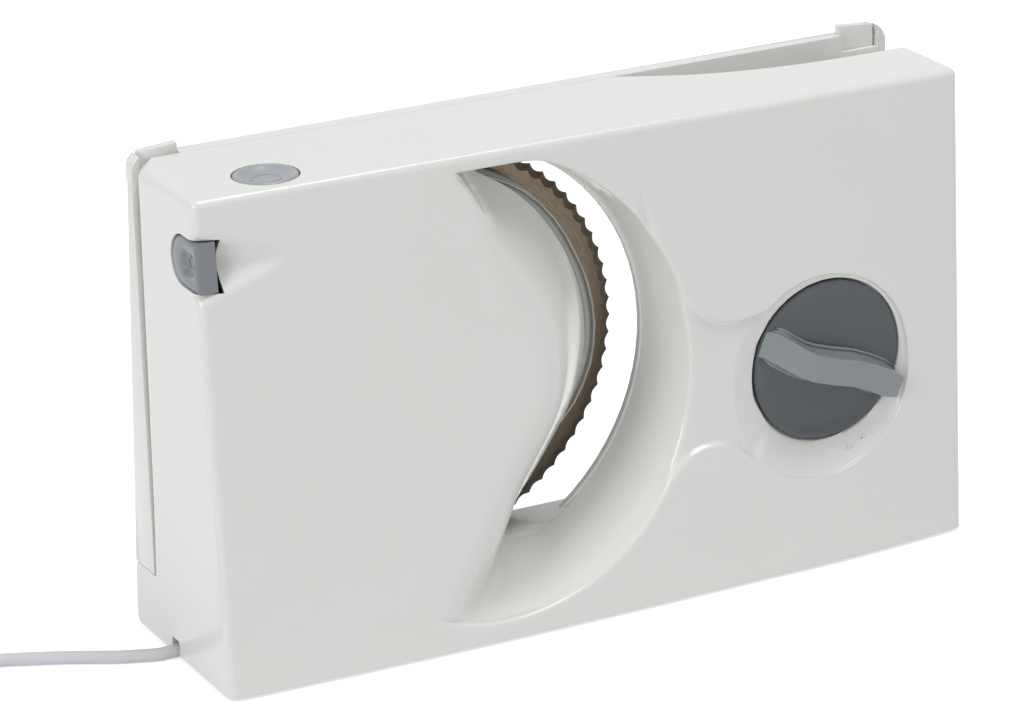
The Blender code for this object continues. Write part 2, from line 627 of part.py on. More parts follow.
def make_blade_and_wheel():
    outline = toothed(BLADE_TEETH, lambda u: BLADE_RADIUS - GULLET * math.sin(math.pi * u), 4)
    blade = place("blade", slab(outline, BLADE_BACK - BLADE_THICKNESS, BLADE_BACK), BLADE_STEEL)
    cut(blade, place("blade_bore", rod((BLADE_X, BLADE_BACK - 5 * mm, BLADE_Z), 10 * mm, BLADE_BORE, "y", 32)))

    gear = []
    for tooth in range(WHEEL_TEETH):
        middle = 2 * math.pi * tooth / WHEEL_TEETH
        for radius, half in ((WHEEL_ROOT, -1.2 * mm), (WHEEL_TIP, -0.4 * mm), (WHEEL_TIP, 0.4 * mm), (WHEEL_ROOT, 1.2 * mm)):
            turn = middle + half / radius
            gear.append((BLADE_X + radius * math.cos(turn), BLADE_Z + radius * math.sin(turn)))
    wheel = place("worm_wheel", slab(gear, WHEEL_FRONT, WHEEL_FRONT + WHEEL_FACE), NYLON)
    shoulder = BLADE_BACK - BLADE_THICKNESS - GAP
    join(wheel, place("wheel_hub", rod((BLADE_X, WHEEL_FRONT - 1 * mm, BLADE_Z), shoulder - WHEEL_FRONT + 1 * mm, HUB_RADIUS,
                                       "y", 32)),
         place("blade_spigot", rod((BLADE_X, shoulder - 1 * mm, BLADE_Z), 2 * mm, BLADE_BORE - FIT, "y", 32)))
    cut(wheel, place("wheel_bore", rod((BLADE_X, WHEEL_FRONT - 3 * mm, BLADE_Z), 40 * mm, BUSH_RADIUS + FIT, "y")))
    bush_back = CHASSIS_FRONT - 1 * mm
    ring("wheel_bush", BRASS, (BLADE_X, WHEEL_FRONT - 1 * mm, BLADE_Z), bush_back - WHEEL_FRONT + 1 * mm,
         BUSH_RADIUS, SPINDLE_RADIUS + FIT, "y")
    spindle = front_wall(BLADE_X, BLADE_Z) + 1.4 * mm
    place("wheel_spindle", rod((BLADE_X, spindle, BLADE_Z), bush_back - spindle, SPINDLE_RADIUS, "y"), STEEL, True)
    cap = place("blade_lock_cap", rod((BLADE_X, BLADE_BACK + GAP, BLADE_Z), 3.6 * mm, 15 * mm, "y", 32), DARK_GREY, True)
    join(cap, place("cap_stem", rod((BLADE_X, bush_back + GAP, BLADE_Z), BLADE_BACK + 1 * mm - bush_back,
                                    BUSH_RADIUS - FIT, "y")))
    cut(cap, place("cap_slot", box((BLADE_X - 10 * mm, BLADE_BACK + 2.4 * mm, BLADE_Z - 1.2 * mm),
                                   (BLADE_X + 10 * mm, BLADE_BACK + 6 * mm, BLADE_Z + 1.2 * mm))))


def make_motor():
    y, z = WHEEL_FRONT + WHEEL_FACE / 2, BLADE_Z - WORM_DISTANCE
    left = MOTOR_LEFT
    winding = left + BRACKET_THICKNESS + GAP
    stator = winding + WINDING_LENGTH + GAP
    second = stator + STATOR_LENGTH + GAP
    right = second + WINDING_LENGTH + GAP
    bore = 11.5 * mm
    ring("motor_stator", STEEL, (stator, y, z), STATOR_LENGTH, MOTOR_RADIUS, bore, "x", 32)
    ring("stator_winding_left", COPPER, (winding, y, z), WINDING_LENGTH, MOTOR_RADIUS - 1.5 * mm, bore + 1 * mm, "x")
    ring("stator_winding_right", COPPER, (second, y, z), WINDING_LENGTH, MOTOR_RADIUS - 1.5 * mm, bore + 1 * mm, "x")
    worm_length = WORM_TURNS * 2 * math.pi * (WORM_DISTANCE - WORM_CORE - WORM_THROW / 2) / WHEEL_TEETH
    shaft_end = BLADE_X + worm_length / 2 + 8 * mm
    place("motor_shaft", rod((left + 1 * mm, y, z), shaft_end - left - 1 * mm, SHAFT_RADIUS, "x", 16), STEEL, True)
    bore_fit = SHAFT_RADIUS + FIT
    ring("armature_core", STEEL, (stator, y, z), STATOR_LENGTH, bore - 1 * mm, bore_fit, "x")
    ring("commutator", COPPER, (winding, y, z), WINDING_LENGTH - 1 * mm, 6 * mm, bore_fit, "x")
    for name, x in (("left", left), ("right", right)):
        bracket = ring("motor_bracket_" + name, WHITE, (x, y, z), BRACKET_THICKNESS, MOTOR_RADIUS - 0.5 * mm,
                       bore_fit, "x")
        foot = box((x, CHASSIS_FRONT - 8 * mm, z - 7 * mm), (x + BRACKET_THICKNESS, CHASSIS_FRONT - GAP, z + 7 * mm))
        join(bracket, place("bracket_foot_" + name, foot))
    for index, side in enumerate((-1, 1), 1):
        low = z + side * 6.5 * mm if side > 0 else z - 10.5 * mm
        place(f"brush_holder_{index}", box((winding, y - 3 * mm, low), (winding + 4 * mm, y + 3 * mm, low + 4 * mm)),
              BRASS)
    fan = right + BRACKET_THICKNESS + 1 * mm
    blades = []
    for i in range(9):
        turn = 2 * math.pi * i / 9
        for radius, shift in ((5 * mm, -0.12), (9.5 * mm, -0.06), (9.5 * mm, 0.06), (5 * mm, 0.12)):
            blades.append((y + radius * math.cos(turn + shift), z + radius * math.sin(turn + shift)))
    cut(place("cooling_fan", side_slab(blades, fan, fan + 5 * mm), NYLON),
        place("fan_bore", rod((fan - 1 * mm, y, z), 8 * mm, bore_fit, "x", 16)))
    pitch = worm_length / WORM_TURNS
    rings = []
    steps = WORM_TURNS * 10
    for i in range(steps + 1):
        x = BLADE_X - worm_length / 2 + worm_length * i / steps
        turn = 2 * math.pi * (x - BLADE_X) / pitch
        middle = (y - WORM_THROW * math.sin(turn), z - WORM_THROW * math.cos(turn))
        rings.append([(x, middle[0] + WORM_CORE * math.cos(a), middle[1] + WORM_CORE * math.sin(a))
                      for a in (2 * math.pi * k / 12 for k in range(12))])
    worm = place("worm", loft(rings), STEEL, True)
    cut(worm, place("worm_bore", rod((rings[0][0][0] - 1 * mm, y, z), worm_length + 2 * mm, bore_fit, "x", 16)))
    end = shaft_end - 5 * mm
    bearing = ring("worm_end_bearing", BRASS, (end, y, z), 5.5 * mm, 6 * mm, bore_fit, "x")
    join(bearing, place("bearing_arm", box((end, y + 4 * mm, z - 4 * mm), (end + 5.5 * mm, CHASSIS_FRONT - GAP, z + 4 * mm))))


def make_electrics():
    low = FLOOR_THICKNESS + GAP
    top = low + 1.6 * mm
    place("circuit_board", box((68 * mm, 28 * mm, low), (102 * mm, 50 * mm, top)), BOARD)
    place("capacitor", box((72 * mm, 32 * mm, top + GAP), (90 * mm, 40 * mm, top + 10 * mm)), DARK_GREY)


# Thickness knob and stop plate

def grip_rings():
    """Rings of the S-shaped grip, from its low end at the rim to its pointer end."""
    line = [Vector((KNOB_X + KNOB_RADIUS * x, KNOB_Z + KNOB_RADIUS * z)) for x, z in GRIP_LINE]
    rings = []
    for i, point in enumerate(line):
        ahead, behind = line[min(i + 1, len(line) - 1)], line[max(i - 1, 0)]
        along = (ahead - behind).normalized()
        across = Vector((-along.y, along.x)) * GRIP_WIDTH / 2
        share = i / (len(line) - 1)
        top = KNOB_FACE - 0.6 * mm - GRIP_HEIGHT * smoothstep(share * 2.4)
        width = min(1.0, 0.55 + 2.2 * share, 0.72 + 2.8 * (1 - share))
        low = KNOB_FACE + 0.5 * mm
        a, b = point - across * width, point + across * width
        c, d = point + across * width * 0.8, point - across * width * 0.8
        rings.append([(a.x, low, a.y), (b.x, low, b.y), (c.x, top, c.y), (d.x, top, d.y)])
    return rings


def helix_groove(start_y):
    """The spiral groove in the knob's hub, one ring of the cut for each step of its turn."""
    rings = []
    steps = 30
    for i in range(steps + 1):
        share = -0.04 + 1.08 * i / steps
        turn = -KNOB_TURN * share + math.pi / 2
        y = start_y + STOP_TRAVEL * share
        ring_points = []
        for radius, shift in ((HUB_OUTER - 1.8 * mm, -1), (HUB_OUTER + 1 * mm, -1), (HUB_OUTER + 1 * mm, 1), (HUB_OUTER - 1.8 * mm, 1)):
            ring_points.append((KNOB_X + radius * math.sin(turn), y + shift * 1.6 * mm, KNOB_Z + radius * math.cos(turn)))
        rings.append(ring_points)
    return rings


def make_knob_and_stop():
    knob = place("thickness_knob", rod((KNOB_X, KNOB_FACE, KNOB_Z), KNOB_DISC, KNOB_RADIUS, "y", 48), DARK_GREY, True)
    seat = KNOB_FACE + KNOB_DISC + 0.4 * mm + WALL + GAP
    follower_y = seat + RETAINER_THICKNESS + 2.8 * mm
    hub_end = follower_y + STOP_TRAVEL + 3.2 * mm
    join(knob, place("knob_hub", rod((KNOB_X, KNOB_FACE + 1 * mm, KNOB_Z), hub_end - KNOB_FACE - 1 * mm, HUB_OUTER, "y", 32)),
         place("knob_grip", loft(grip_rings())))
    groove = place("retainer_groove", rod((KNOB_X, seat - 0.2 * mm, KNOB_Z), RETAINER_THICKNESS + 0.4 * mm, HUB_OUTER + 1 * mm,
                                          "y", 32))
    cut(groove, place("groove_floor", rod((KNOB_X, seat - 2 * mm, KNOB_Z), 6 * mm, HUB_OUTER - 0.9 * mm, "y", 32)))
    clip = ring("knob_retainer", STEEL, (KNOB_X, seat, KNOB_Z), RETAINER_THICKNESS, HUB_OUTER + 2.6 * mm,
                HUB_OUTER - 0.9 * mm + FIT, "y", 32)
    cut(clip, place("retainer_opening", box((KNOB_X - 8 * mm, seat - 1 * mm, KNOB_Z - 30 * mm),
                                            (KNOB_X + 8 * mm, seat + 3 * mm, KNOB_Z))))
    cut(knob, groove, place("hub_groove", loft(helix_groove(follower_y))),
        place("hub_core", rod((KNOB_X, KNOB_FACE + KNOB_DISC, KNOB_Z), 30 * mm, HUB_OUTER - 4.5 * mm, "y", 32)))

    outline = arc(BLADE_X, BLADE_Z, STOP_EDGE, -53, 70, 24)
    outline = [(x, min(z, STOP_HIGH)) for x, z in outline]
    right = LENGTH - WALL - 3 * mm
    outline += [(right, STOP_HIGH), (right, STOP_LOW)]
    plate = place("stop_plate", slab(outline, STOP_FRONT, STOP_FRONT + STOP_THICKNESS), WHITE, True)
    sleeve_start = seat + RETAINER_THICKNESS + 1 * mm
    inner, outer = HUB_OUTER + 0.4 * mm, HUB_OUTER + 3 * mm
    join(plate, place("stop_sleeve", rod((KNOB_X, sleeve_start, KNOB_Z), STOP_FRONT + 1 * mm - sleeve_start, outer, "y", 32)))
    cut(plate, place("sleeve_bore", rod((KNOB_X, sleeve_start - 1 * mm, KNOB_Z), 30 * mm, inner, "y", 32)))
    join(plate, place("follower_pin", rod((KNOB_X + HUB_OUTER - 1.3 * mm, follower_y, KNOB_Z), 3 * mm, 1 * mm, "x", 12)))
    for index, x in enumerate(ROD_XS, 1):
        boss = front_wall(x, ROD_Z) + 2 * mm
        sleeve = boss + 8 * mm
        place(f"guide_rod_{index}", rod((x, boss + GAP, ROD_Z), STOP_FRONT - boss - GAP, ROD_RADIUS, "y", 16), STEEL, True)
        join(plate, place(f"guide_sleeve_{index}", rod((x, sleeve, ROD_Z), STOP_FRONT + 1 * mm - sleeve, 5.5 * mm, "y", 16)))
        cut(plate, place(f"guide_bore_{index}", rod((x, sleeve - 1 * mm, ROD_Z), STOP_FRONT + 2 * mm - sleeve + 0.8 * mm,
                                                    ROD_RADIUS + FIT, "y", 16)))


# Buttons

def make_buttons():
    front = 0.5 * mm
    outline = button_outline(0, lambda z: front_face(0, z) + front)
    button = place("on_off_button", side_slab(outline, 0.2 * mm, SIDE_BUTTON_THICKNESS), LIGHT_GREY)
    y, z = SIDE_BUTTON_BACK - SIDE_BUTTON_HALF, SIDE_BUTTON_Z
    dish = rod((-3 * mm, y - 8 * mm, z), 4.2 * mm, 9 * mm, "x", 24, 6 * mm)
    cut(button, place("thumb_dish", dish))
    stem_end = 24 * mm
    join(button, place("button_stem", rod((SIDE_BUTTON_THICKNESS - 1 * mm, y, z), stem_end - SIDE_BUTTON_THICKNESS + 1 * mm,
                                          3 * mm, "x", 16)))
    seat = 18 * mm
    switch = place("microswitch", box((seat, y - 4.5 * mm, z - 9 * mm), (seat + 2 * mm, CHASSIS_FRONT - GAP, z + 7 * mm)), DARK_GREY)
    join(switch, place("switch_body", box((stem_end + BUTTON_TRAVEL + 1 * mm, y - 6 * mm, z - 9 * mm),
                                          (stem_end + 20 * mm, CHASSIS_FRONT - GAP, z - 1 * mm))),
         place("switch_bridge", box((seat + 1 * mm, y + 5 * mm, z - 9 * mm), (stem_end + 6 * mm, CHASSIS_FRONT - GAP, z - 4 * mm))))
    cut(switch, place("switch_hole", rod((seat - 1 * mm, y, z), 4 * mm, 3 * mm + FIT, "x", 16)))

    top = HEIGHT + 0.3 * mm
    cap = place("safety_button", loft([top_oval(h, 0) for h in (HEIGHT - 6 * mm, top)]), LIGHT_GREY, True)
    flange = HEIGHT - WALL - 0.5 * mm
    stem_low = HEIGHT - 22.5 * mm
    join(cap, place("button_flange", loft([top_oval(h, 1.5 * mm) for h in (flange - 4 * mm, flange)])),
         place("top_stem", rod((TOP_BUTTON_X, TOP_BUTTON_Y, stem_low), flange - stem_low - 1 * mm, 4 * mm, "z", 16)))
    low = HEIGHT - 20.5 * mm + GAP
    ring("safety_spring", STEEL, (TOP_BUTTON_X, TOP_BUTTON_Y, low), flange - 4 * mm - GAP - low, 6.5 * mm, 4 * mm + FIT, "z", 16)


# Folding table with its carriage

def make_table():
    top = HEIGHT - 0.5 * mm
    low = CHEEK_HEIGHT + LEDGE + GAP
    back = DEPTH
    arm_left, arm_right = CHEEK_WIDTH + 0.5 * mm, LENGTH - CHEEK_WIDTH - 0.5 * mm
    frame = place("table_frame", box((0, FRAME_FRONT, low), (FRAME_LENGTH, back, top)), WHITE)
    window = place("table_window", box((SIDE_WIDTH, FRAME_FRONT - 1 * mm, low - 2 * mm),
                                       (arm_right - ARM_WIDTH, back + 1 * mm, top - BAR_HEIGHT)))
    cut(frame, window)
    wall = [(RIM_LOW + 1 * mm, low), (FRAME_FRONT + 1 * mm, low), (FRAME_FRONT + 1 * mm, top - 3 * mm),
            (FRAME_FRONT, top - 3 * mm)]
    join(frame, place("end_wall_left", side_slab(wall, 0, END_WALL)),
         place("end_wall_right", side_slab([(y, z) for y, z in wall], FRAME_LENGTH - END_WALL + 1 * mm, FRAME_LENGTH)),
         place("near_bar", box((arm_left, FRAME_FRONT, NEAR_BAR_LOW), (arm_right, back, NEAR_BAR_HIGH))),
         place("arm_left", box((arm_left, FRAME_FRONT, NEAR_BAR_LOW), (SIDE_WIDTH, back, low + 4 * mm))),
         place("arm_right", box((arm_right - ARM_WIDTH, FRAME_FRONT, NEAR_BAR_LOW), (arm_right, back, low + 4 * mm))))
    for name, outer in (("left", 0), ("right", 1)):
        def across(distance):
            return FRAME_LENGTH - distance if outer else distance
        xs = sorted((across(LEG_LEFT), across(LEG_LEFT + LEG_WIDTH + 2 * FIT)))
        pocket = place("leg_pocket_" + name, box((xs[0], back - LEG_THICKNESS - GAP, LEG_PIVOT_Z - 26 * mm), (xs[1], back + 1 * mm, top + 1 * mm)))
        through = place("leg_head_space_" + name, box((xs[0], FRAME_FRONT - 1 * mm, LEG_PIVOT_Z - 5 * mm), (xs[1], back + 1 * mm, top + 1 * mm)))
        pin_y = back - LEG_THICKNESS / 2
        ends = sorted((across(LEG_LEFT - 2 * mm), across(LEG_LEFT + LEG_WIDTH + 2.4 * mm)))
        hole = place("leg_hole_" + name, rod((ends[0], pin_y, LEG_PIVOT_Z), ends[1] - ends[0], 1.2 * mm + FIT, "x", 12))
        hinge_start = arm_right - ARM_WIDTH - 1 * mm if outer else arm_left - 1 * mm
        hinge = place("arm_hole_" + name, rod((hinge_start, HINGE_Y, HINGE_Z), 6 * mm, HINGE_RADIUS + FIT, "x", 16))
        cut(frame, pocket, through, hole, hinge)
        leg_low = LEG_PIVOT_Z - (HINGE_Z + FOOT_HEIGHT - (pin_y - HINGE_Y))
        leg = place("support_leg_" + name, box((xs[0] + FIT, back - LEG_THICKNESS, leg_low), (xs[1] - FIT, back, LEG_PIVOT_Z + LEG_HEAD)), WHITE)
        pins = sorted((across(LEG_LEFT - 1.6 * mm), across(LEG_LEFT + LEG_WIDTH + 2 * mm)))
        join(leg, place("leg_pin_" + name, rod((pins[0], pin_y, LEG_PIVOT_Z), pins[1] - pins[0], 1.2 * mm, "x", 12)))
    for name, start in (("left", 2.4 * mm), ("right", LENGTH - CHEEK_WIDTH - 3.4 * mm)):
        place("hinge_pin_" + name, rod((start, HINGE_Y, HINGE_Z), 9 * mm, HINGE_RADIUS, "x", 16), STEEL, True)


def make_carriage():
    back = CARRIAGE_FRONT + CARRIAGE_THICKNESS
    left, right = CARRIAGE_LEFT, CARRIAGE_LEFT + CARRIAGE_WIDTH
    carriage = place("carriage", box((left, CARRIAGE_FRONT, CARRIAGE_LOW), (right, back, CARRIAGE_HIGH)), WHITE)
    top = HEIGHT - 0.5 * mm
    runner_low = NEAR_BAR_HIGH + GAP
    runner_high = top - BAR_HEIGHT - GAP
    depth = DEPTH - LEG_THICKNESS - 2 * GAP
    join(carriage,
         place("near_runner", box((left, back - 1 * mm, runner_low), (right, depth, runner_low + 2.5 * mm))),
         place("far_runner", box((left, back - 1 * mm, runner_high - 2.5 * mm), (right, depth, runner_high))),
         place("carriage_fence", box((left, CARRIAGE_FRONT - 9 * mm, 30 * mm), (left + 2.5 * mm, CARRIAGE_FRONT + 1 * mm, CARRIAGE_HIGH - 6 * mm))))
    slot_x = left + 20 * mm
    cut(carriage, place("pusher_slot", box((slot_x, CARRIAGE_FRONT - 2 * mm, PUSHER_PIVOT_Z - 86 * mm),
                                           (slot_x + 8 * mm, back + 2 * mm, PUSHER_PIVOT_Z + 6 * mm))))
    slide = place("pusher_slide", box((left + 10 * mm, CARRIAGE_FRONT - 2.5 * mm, PUSHER_PIVOT_Z - 5 * mm),
                                      (left + 10 * mm + PUSHER_WIDTH, CARRIAGE_FRONT - GAP, PUSHER_PIVOT_Z + 5 * mm)), LIGHT_GREY)
    join(slide, place("pusher_key", box((slot_x + GAP, CARRIAGE_FRONT - 1 * mm, PUSHER_PIVOT_Z - 5 * mm),
                                        (slot_x + 8 * mm - GAP, back + 0.6 * mm, PUSHER_PIVOT_Z + 5 * mm))))
    x0, x1 = left + 10 * mm, left + 10 * mm + PUSHER_WIDTH
    y = CARRIAGE_FRONT - PUSHER_PIVOT_DEPTH
    for name, x in (("left", x0), ("right", x1 - 4 * mm)):
        ear = box((x, y - 2.5 * mm, PUSHER_PIVOT_Z - 3 * mm), (x + 4 * mm, CARRIAGE_FRONT - 1 * mm, PUSHER_PIVOT_Z + 3 * mm))
        join(slide, place("pusher_ear_" + name, ear))
        cut(slide, place("ear_hole_" + name, rod((x - 1 * mm, y, PUSHER_PIVOT_Z), 6 * mm, 1.2 * mm + FIT, "x", 12)))
    plate = place("pusher_plate", box((x0 + 4.4 * mm, y - 1.5 * mm, PUSHER_PIVOT_Z - PUSHER_HEIGHT), (x1 - 4.4 * mm, y + 1.5 * mm, PUSHER_PIVOT_Z + 1.5 * mm)), LIGHT_GREY)
    join(plate, place("pusher_pin", rod((x0 + 0.6 * mm, y, PUSHER_PIVOT_Z), PUSHER_WIDTH - 1.2 * mm, 1.2 * mm, "x", 12)))
    for index in range(6):
        z = PUSHER_PIVOT_Z - PUSHER_HEIGHT + (8 + 10 * index) * mm
        join(plate, place(f"pusher_rib_{index + 1}", box((x0 + 10 * mm, y - 3 * mm, z), (x1 - 10 * mm, y - 1 * mm, z + 2 * mm))))


# Cord, coil and plug

CORD_LIFT = CORD_RADIUS + 0.05 * mm - FOOT_HEIGHT
CORD_ROUTE = ((-7, 48.6), (-21.6, 53.7), (-35.2, 60.7), (-49.1, 67.2), (-62.9, 73.0), (-80, 78.0), (-97, 80.0))


def smooth_route(points, spacing):
    """Evenly spaced points on a Catmull-Rom curve through the given ones."""
    dense = []
    padded = [points[0] * 2 - points[1]] + points + [points[-1] * 2 - points[-2]]
    for a, b, c, d in zip(padded, padded[1:], padded[2:], padded[3:]):
        for i in range(20):
            t = i / 20
            dense.append(0.5 * (2 * b + (c - a) * t + (2 * a - 5 * b + 4 * c - d) * t ** 2 + (3 * b - a - 3 * c + d) * t ** 3))
    dense.append(points[-1])
    even, travelled = [dense[0]], 0.0
    for a, b in zip(dense, dense[1:]):
        travelled += (b - a).length
        if travelled >= spacing:
            even.append(b)
            travelled = 0.0
    even[-1] = dense[-1]
    return even


def coil_points():
    """Two layers of turns: in along the floor, up during the half turn at the middle, and out again on top."""
    spread = COIL_PITCH * COIL_TURNS
    inner, outer = COIL_RADIUS - spread / 2, COIL_RADIUS + spread / 2
    count = int(COIL_TURNS * LOOP_POINTS)
    climb = LOOP_POINTS // 2
    points = []
    for i in range(2 * count + climb + 1):
        turn = math.radians(COIL_START) + 2 * math.pi * i / LOOP_POINTS
        if i <= count:
            radius, height = outer - spread * i / count, 0.0
        elif i <= count + climb:
            share = (i - count) / climb
            radius, height = inner - 1 * mm * math.sin(math.pi * share), COIL_PITCH * smoothstep(share)
        else:
            radius, height = inner + spread * (i - count - climb) / count, COIL_PITCH
        points.append(Vector((COIL_X + radius * math.cos(turn), COIL_Y + radius * math.sin(turn), CORD_LIFT + height)))
    return points


def least_self_gap(points):
    """Smallest clear distance between stretches of the coil that are more than half a turn apart."""
    least = 1.0
    for i, a in enumerate(points):
        for b in points[i + LOOP_POINTS // 2:]:
            least = min(least, (a - b).length)
    return least - 2 * CORD_RADIUS


def tube(name, points, stuff, sides):
    """A round cord through design points, as a poly curve with filled caps."""
    curve = bpy.data.curves.new(name, "CURVE")
    curve.dimensions = "3D"
    curve.bevel_depth = CORD_RADIUS
    curve.bevel_resolution = sides
    curve.use_fill_caps = True
    spline = curve.splines.new("POLY")
    spline.points.add(len(points) - 1)
    for slot, point in zip(spline.points, points):
        slot.co = (*world(*point), 1.0)
    made = bpy.data.objects.new(name, curve)
    parts.objects.link(made)
    curve.materials.append(stuff)
    return made


def make_cord():
    grip = WALL + GAP
    place("cord_grip", box((grip, CORD_Y - GRIP_HALF, -1 * mm), (grip + GRIP_LENGTH, CORD_Y + GRIP_HALF, 8 * mm)), DARK_GREY)
    coil = coil_points()
    print("least gap of the coil to itself, mm:", round(least_self_gap(coil) / mm, 2))
    spacing = 2.4 * 2 * CORD_RADIUS
    route = [Vector((grip - GAP, CORD_Y, CORD_LIFT))] + [Vector((x * mm, y * mm, CORD_LIFT)) for x, y in CORD_ROUTE]
    arriving = (coil[1] - coil[0]).normalized()
    end = coil[0] - arriving * GAP
    route += [end - arriving * 2 * CORD_RADIUS, end]
    tube("cord_stretch", smooth_route(route, spacing), CORD_WHITE, 2)
    tube("cord_coil", coil, CORD_WHITE, 1)
    leaving = (coil[-1] - coil[-2]).normalized()
    start = coil[-1] + leaving * GAP
    plug = start + leaving * 62 * mm
    plug.z = PLUG_THICK - FOOT_HEIGHT
    drop = start.lerp(plug, 0.6)
    tail = [start, start + leaving * 2 * CORD_RADIUS, start + leaving * 20 * mm, drop, plug - leaving * 6 * mm, plug]
    tail[2].z = start.z
    tail[4].z = plug.z
    tube("cord_tail", smooth_route(tail, spacing), CORD_WHITE, 2)
    side = Vector((-leaving.y, leaving.x, 0))
    rings = []
    for along, wide, high in ((0, 3.6, 3.6), (10, 4.5, 4.2), (16, 7, 6.8), (36, 7.5, 6.8), (38, 6.5, 5.8)):
        middle = plug + leaving * (GAP + along * mm)
        rings.append([tuple(middle + side * wide * mm * math.cos(a) + Vector((0, 0, high * mm * math.sin(a))))
                      for a in (2 * math.pi * k / 16 for k in range(16))])
    place("plug_body", loft(rings), CORD_WHITE, True)
    turned = Matrix.Rotation(math.atan2(leaving.y, leaving.x), 4, "Z")
    for name, offset in (("front", -1), ("back", 1)):
        base = plug + leaving * (38 * mm + 2 * GAP) + side * offset * 4.6 * mm
        bm = rod((0, 0, 0), 19 * mm, 2 * mm, "x", 16)
        bmesh.ops.transform(bm, verts=bm.verts, matrix=Matrix.Translation(base) @ turned)
        place("plug_pin_" + name, bm, BRASS, True)


make_front_housing()
make_base()
make_chassis()
make_blade_and_wheel()
make_motor()
make_electrics()
make_knob_and_stop()
make_buttons()
make_table()
make_carriage()
make_cord()

pivot("blade_axis", (BLADE_X, BLADE_BACK, BLADE_Z), ("blade", "worm_wheel", "wheel_bush", "blade_lock_cap"))
pivot("motor_axis", (MOTOR_LEFT, WHEEL_FRONT + WHEEL_FACE / 2, BLADE_Z - WORM_DISTANCE),
      ("motor_shaft", "armature_core", "commutator", "cooling_fan", "worm"))
pivot("knob_axis", (KNOB_X, KNOB_FACE, KNOB_Z), ("thickness_knob", "knob_retainer"))
pivot("stop_slide", (KNOB_X, STOP_FRONT, KNOB_Z), ("stop_plate",))
pivot("on_off_slide", (0, SIDE_BUTTON_BACK - SIDE_BUTTON_HALF, SIDE_BUTTON_Z), ("on_off_button",))
pivot("safety_slide", (TOP_BUTTON_X, TOP_BUTTON_Y, HEIGHT), ("safety_button",))
table_axis = pivot("table_axis", (0, HINGE_Y, HINGE_Z), ("table_frame",))
carriage_slide = pivot("carriage_slide", (CARRIAGE_LEFT, CARRIAGE_FRONT, CARRIAGE_LOW), ("carriage",))
pusher_move = pivot("pusher_move", (CARRIAGE_LEFT, CARRIAGE_FRONT, PUSHER_PIVOT_Z), ("pusher_slide",))
pusher_axis = pivot("pusher_axis", (CARRIAGE_LEFT, CARRIAGE_FRONT - PUSHER_PIVOT_DEPTH, PUSHER_PIVOT_Z), ("pusher_plate",))
leg_axes = [pivot("leg_axis_" + side, (x, DEPTH - LEG_THICKNESS / 2, LEG_PIVOT_Z), ("support_leg_" + side,))
            for side, x in (("left", LEG_LEFT), ("right", FRAME_LENGTH - LEG_LEFT))]
for child, parent in ((carriage_slide, table_axis), (pusher_move, carriage_slide), (pusher_axis, pusher_move),
                      (leg_axes[0], table_axis), (leg_axes[1], table_axis)):
    child.parent = parent
    child.matrix_parent_inverse = Matrix.Translation(-parent.matrix_basis.translation)
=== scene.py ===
# %% [markdown]
# # A folding food slicer, put away
# The object is a kitchen slicer in its storage state, seen from the side where the slices come out. One glossy
# white shell leans back a little, a round steel blade shows in a crescent, a grey knob sets the slice thickness,
# and the table is folded up behind. The CAD model is the frame: it says where everything is, and this file gives
# the looks. All sizes in the cells are in millimetres of the design, whose corner is the lower left front edge.

# %% Load the frame and keep its box
import math

import bmesh
import bpy
import numpy as np
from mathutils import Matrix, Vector
from mathutils.geometry import delaunay_2d_cdt


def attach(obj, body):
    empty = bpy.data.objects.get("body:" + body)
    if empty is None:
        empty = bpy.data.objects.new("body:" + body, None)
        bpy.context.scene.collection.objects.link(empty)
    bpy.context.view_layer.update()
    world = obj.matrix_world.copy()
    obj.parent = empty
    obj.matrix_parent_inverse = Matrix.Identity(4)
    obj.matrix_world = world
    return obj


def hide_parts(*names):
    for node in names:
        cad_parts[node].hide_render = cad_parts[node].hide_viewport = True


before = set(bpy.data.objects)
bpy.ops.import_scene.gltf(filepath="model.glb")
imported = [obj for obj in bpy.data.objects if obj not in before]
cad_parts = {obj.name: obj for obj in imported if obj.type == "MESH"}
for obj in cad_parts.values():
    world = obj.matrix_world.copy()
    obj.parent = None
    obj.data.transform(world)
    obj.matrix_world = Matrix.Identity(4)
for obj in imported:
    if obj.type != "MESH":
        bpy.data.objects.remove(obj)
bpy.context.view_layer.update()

# %% [markdown]
# ## Places and tools
# The design is measured from the slicer's own corner, but the frame has its origin under the middle of the object.
# One function turns a design point into a frame point. The other helpers do what a hand does in the window: clear
# the selection, add a primitive, pick faces by their place, apply a modifier.

# %% Design places
MM = 0.001
ORIGIN = Vector((-168.0, -41.1, 1.5))      # design corner, seen from the frame's origin


def at(x, y, z):
    """A design point in millimetres as a frame point in metres."""
    return (Vector((x, y, z)) + ORIGIN) * MM


def link(name, data):
    """A new object of the scene that shows a mesh, a curve, a lamp or a camera."""
    made = bpy.data.objects.new(name, data)
    bpy.context.scene.collection.objects.link(made)
    return made


def round_turn(count):
    """Angles of a full turn in even steps."""
    return [2 * math.pi * k / count for k in range(count)]


LENGTH, HEIGHT, DEPTH = 333.0, 192.5, 84.0
BLADE_X, BLADE_Z, BLADE_RADIUS = 110.2, 101.7, 85.0
KNOB_X, KNOB_Z, KNOB_RADIUS, KNOB_FACE = 270.7, 82.4, 33.4, 14.0
SIDE_BUTTON_Z, SIDE_BUTTON_HALF = 166.7, 9.7
TOP_BUTTON = (37.5, 39.3)
print("design corner in the frame:", tuple(round(c * MM, 4) for c in ORIGIN))


# %% Helpers for modelling by hand
def alone(piece):
    """Makes a piece the only selected and the active object."""
    bpy.ops.object.select_all(action="DESELECT")
    piece.select_set(True)
    bpy.context.view_layer.objects.active = piece
    return piece


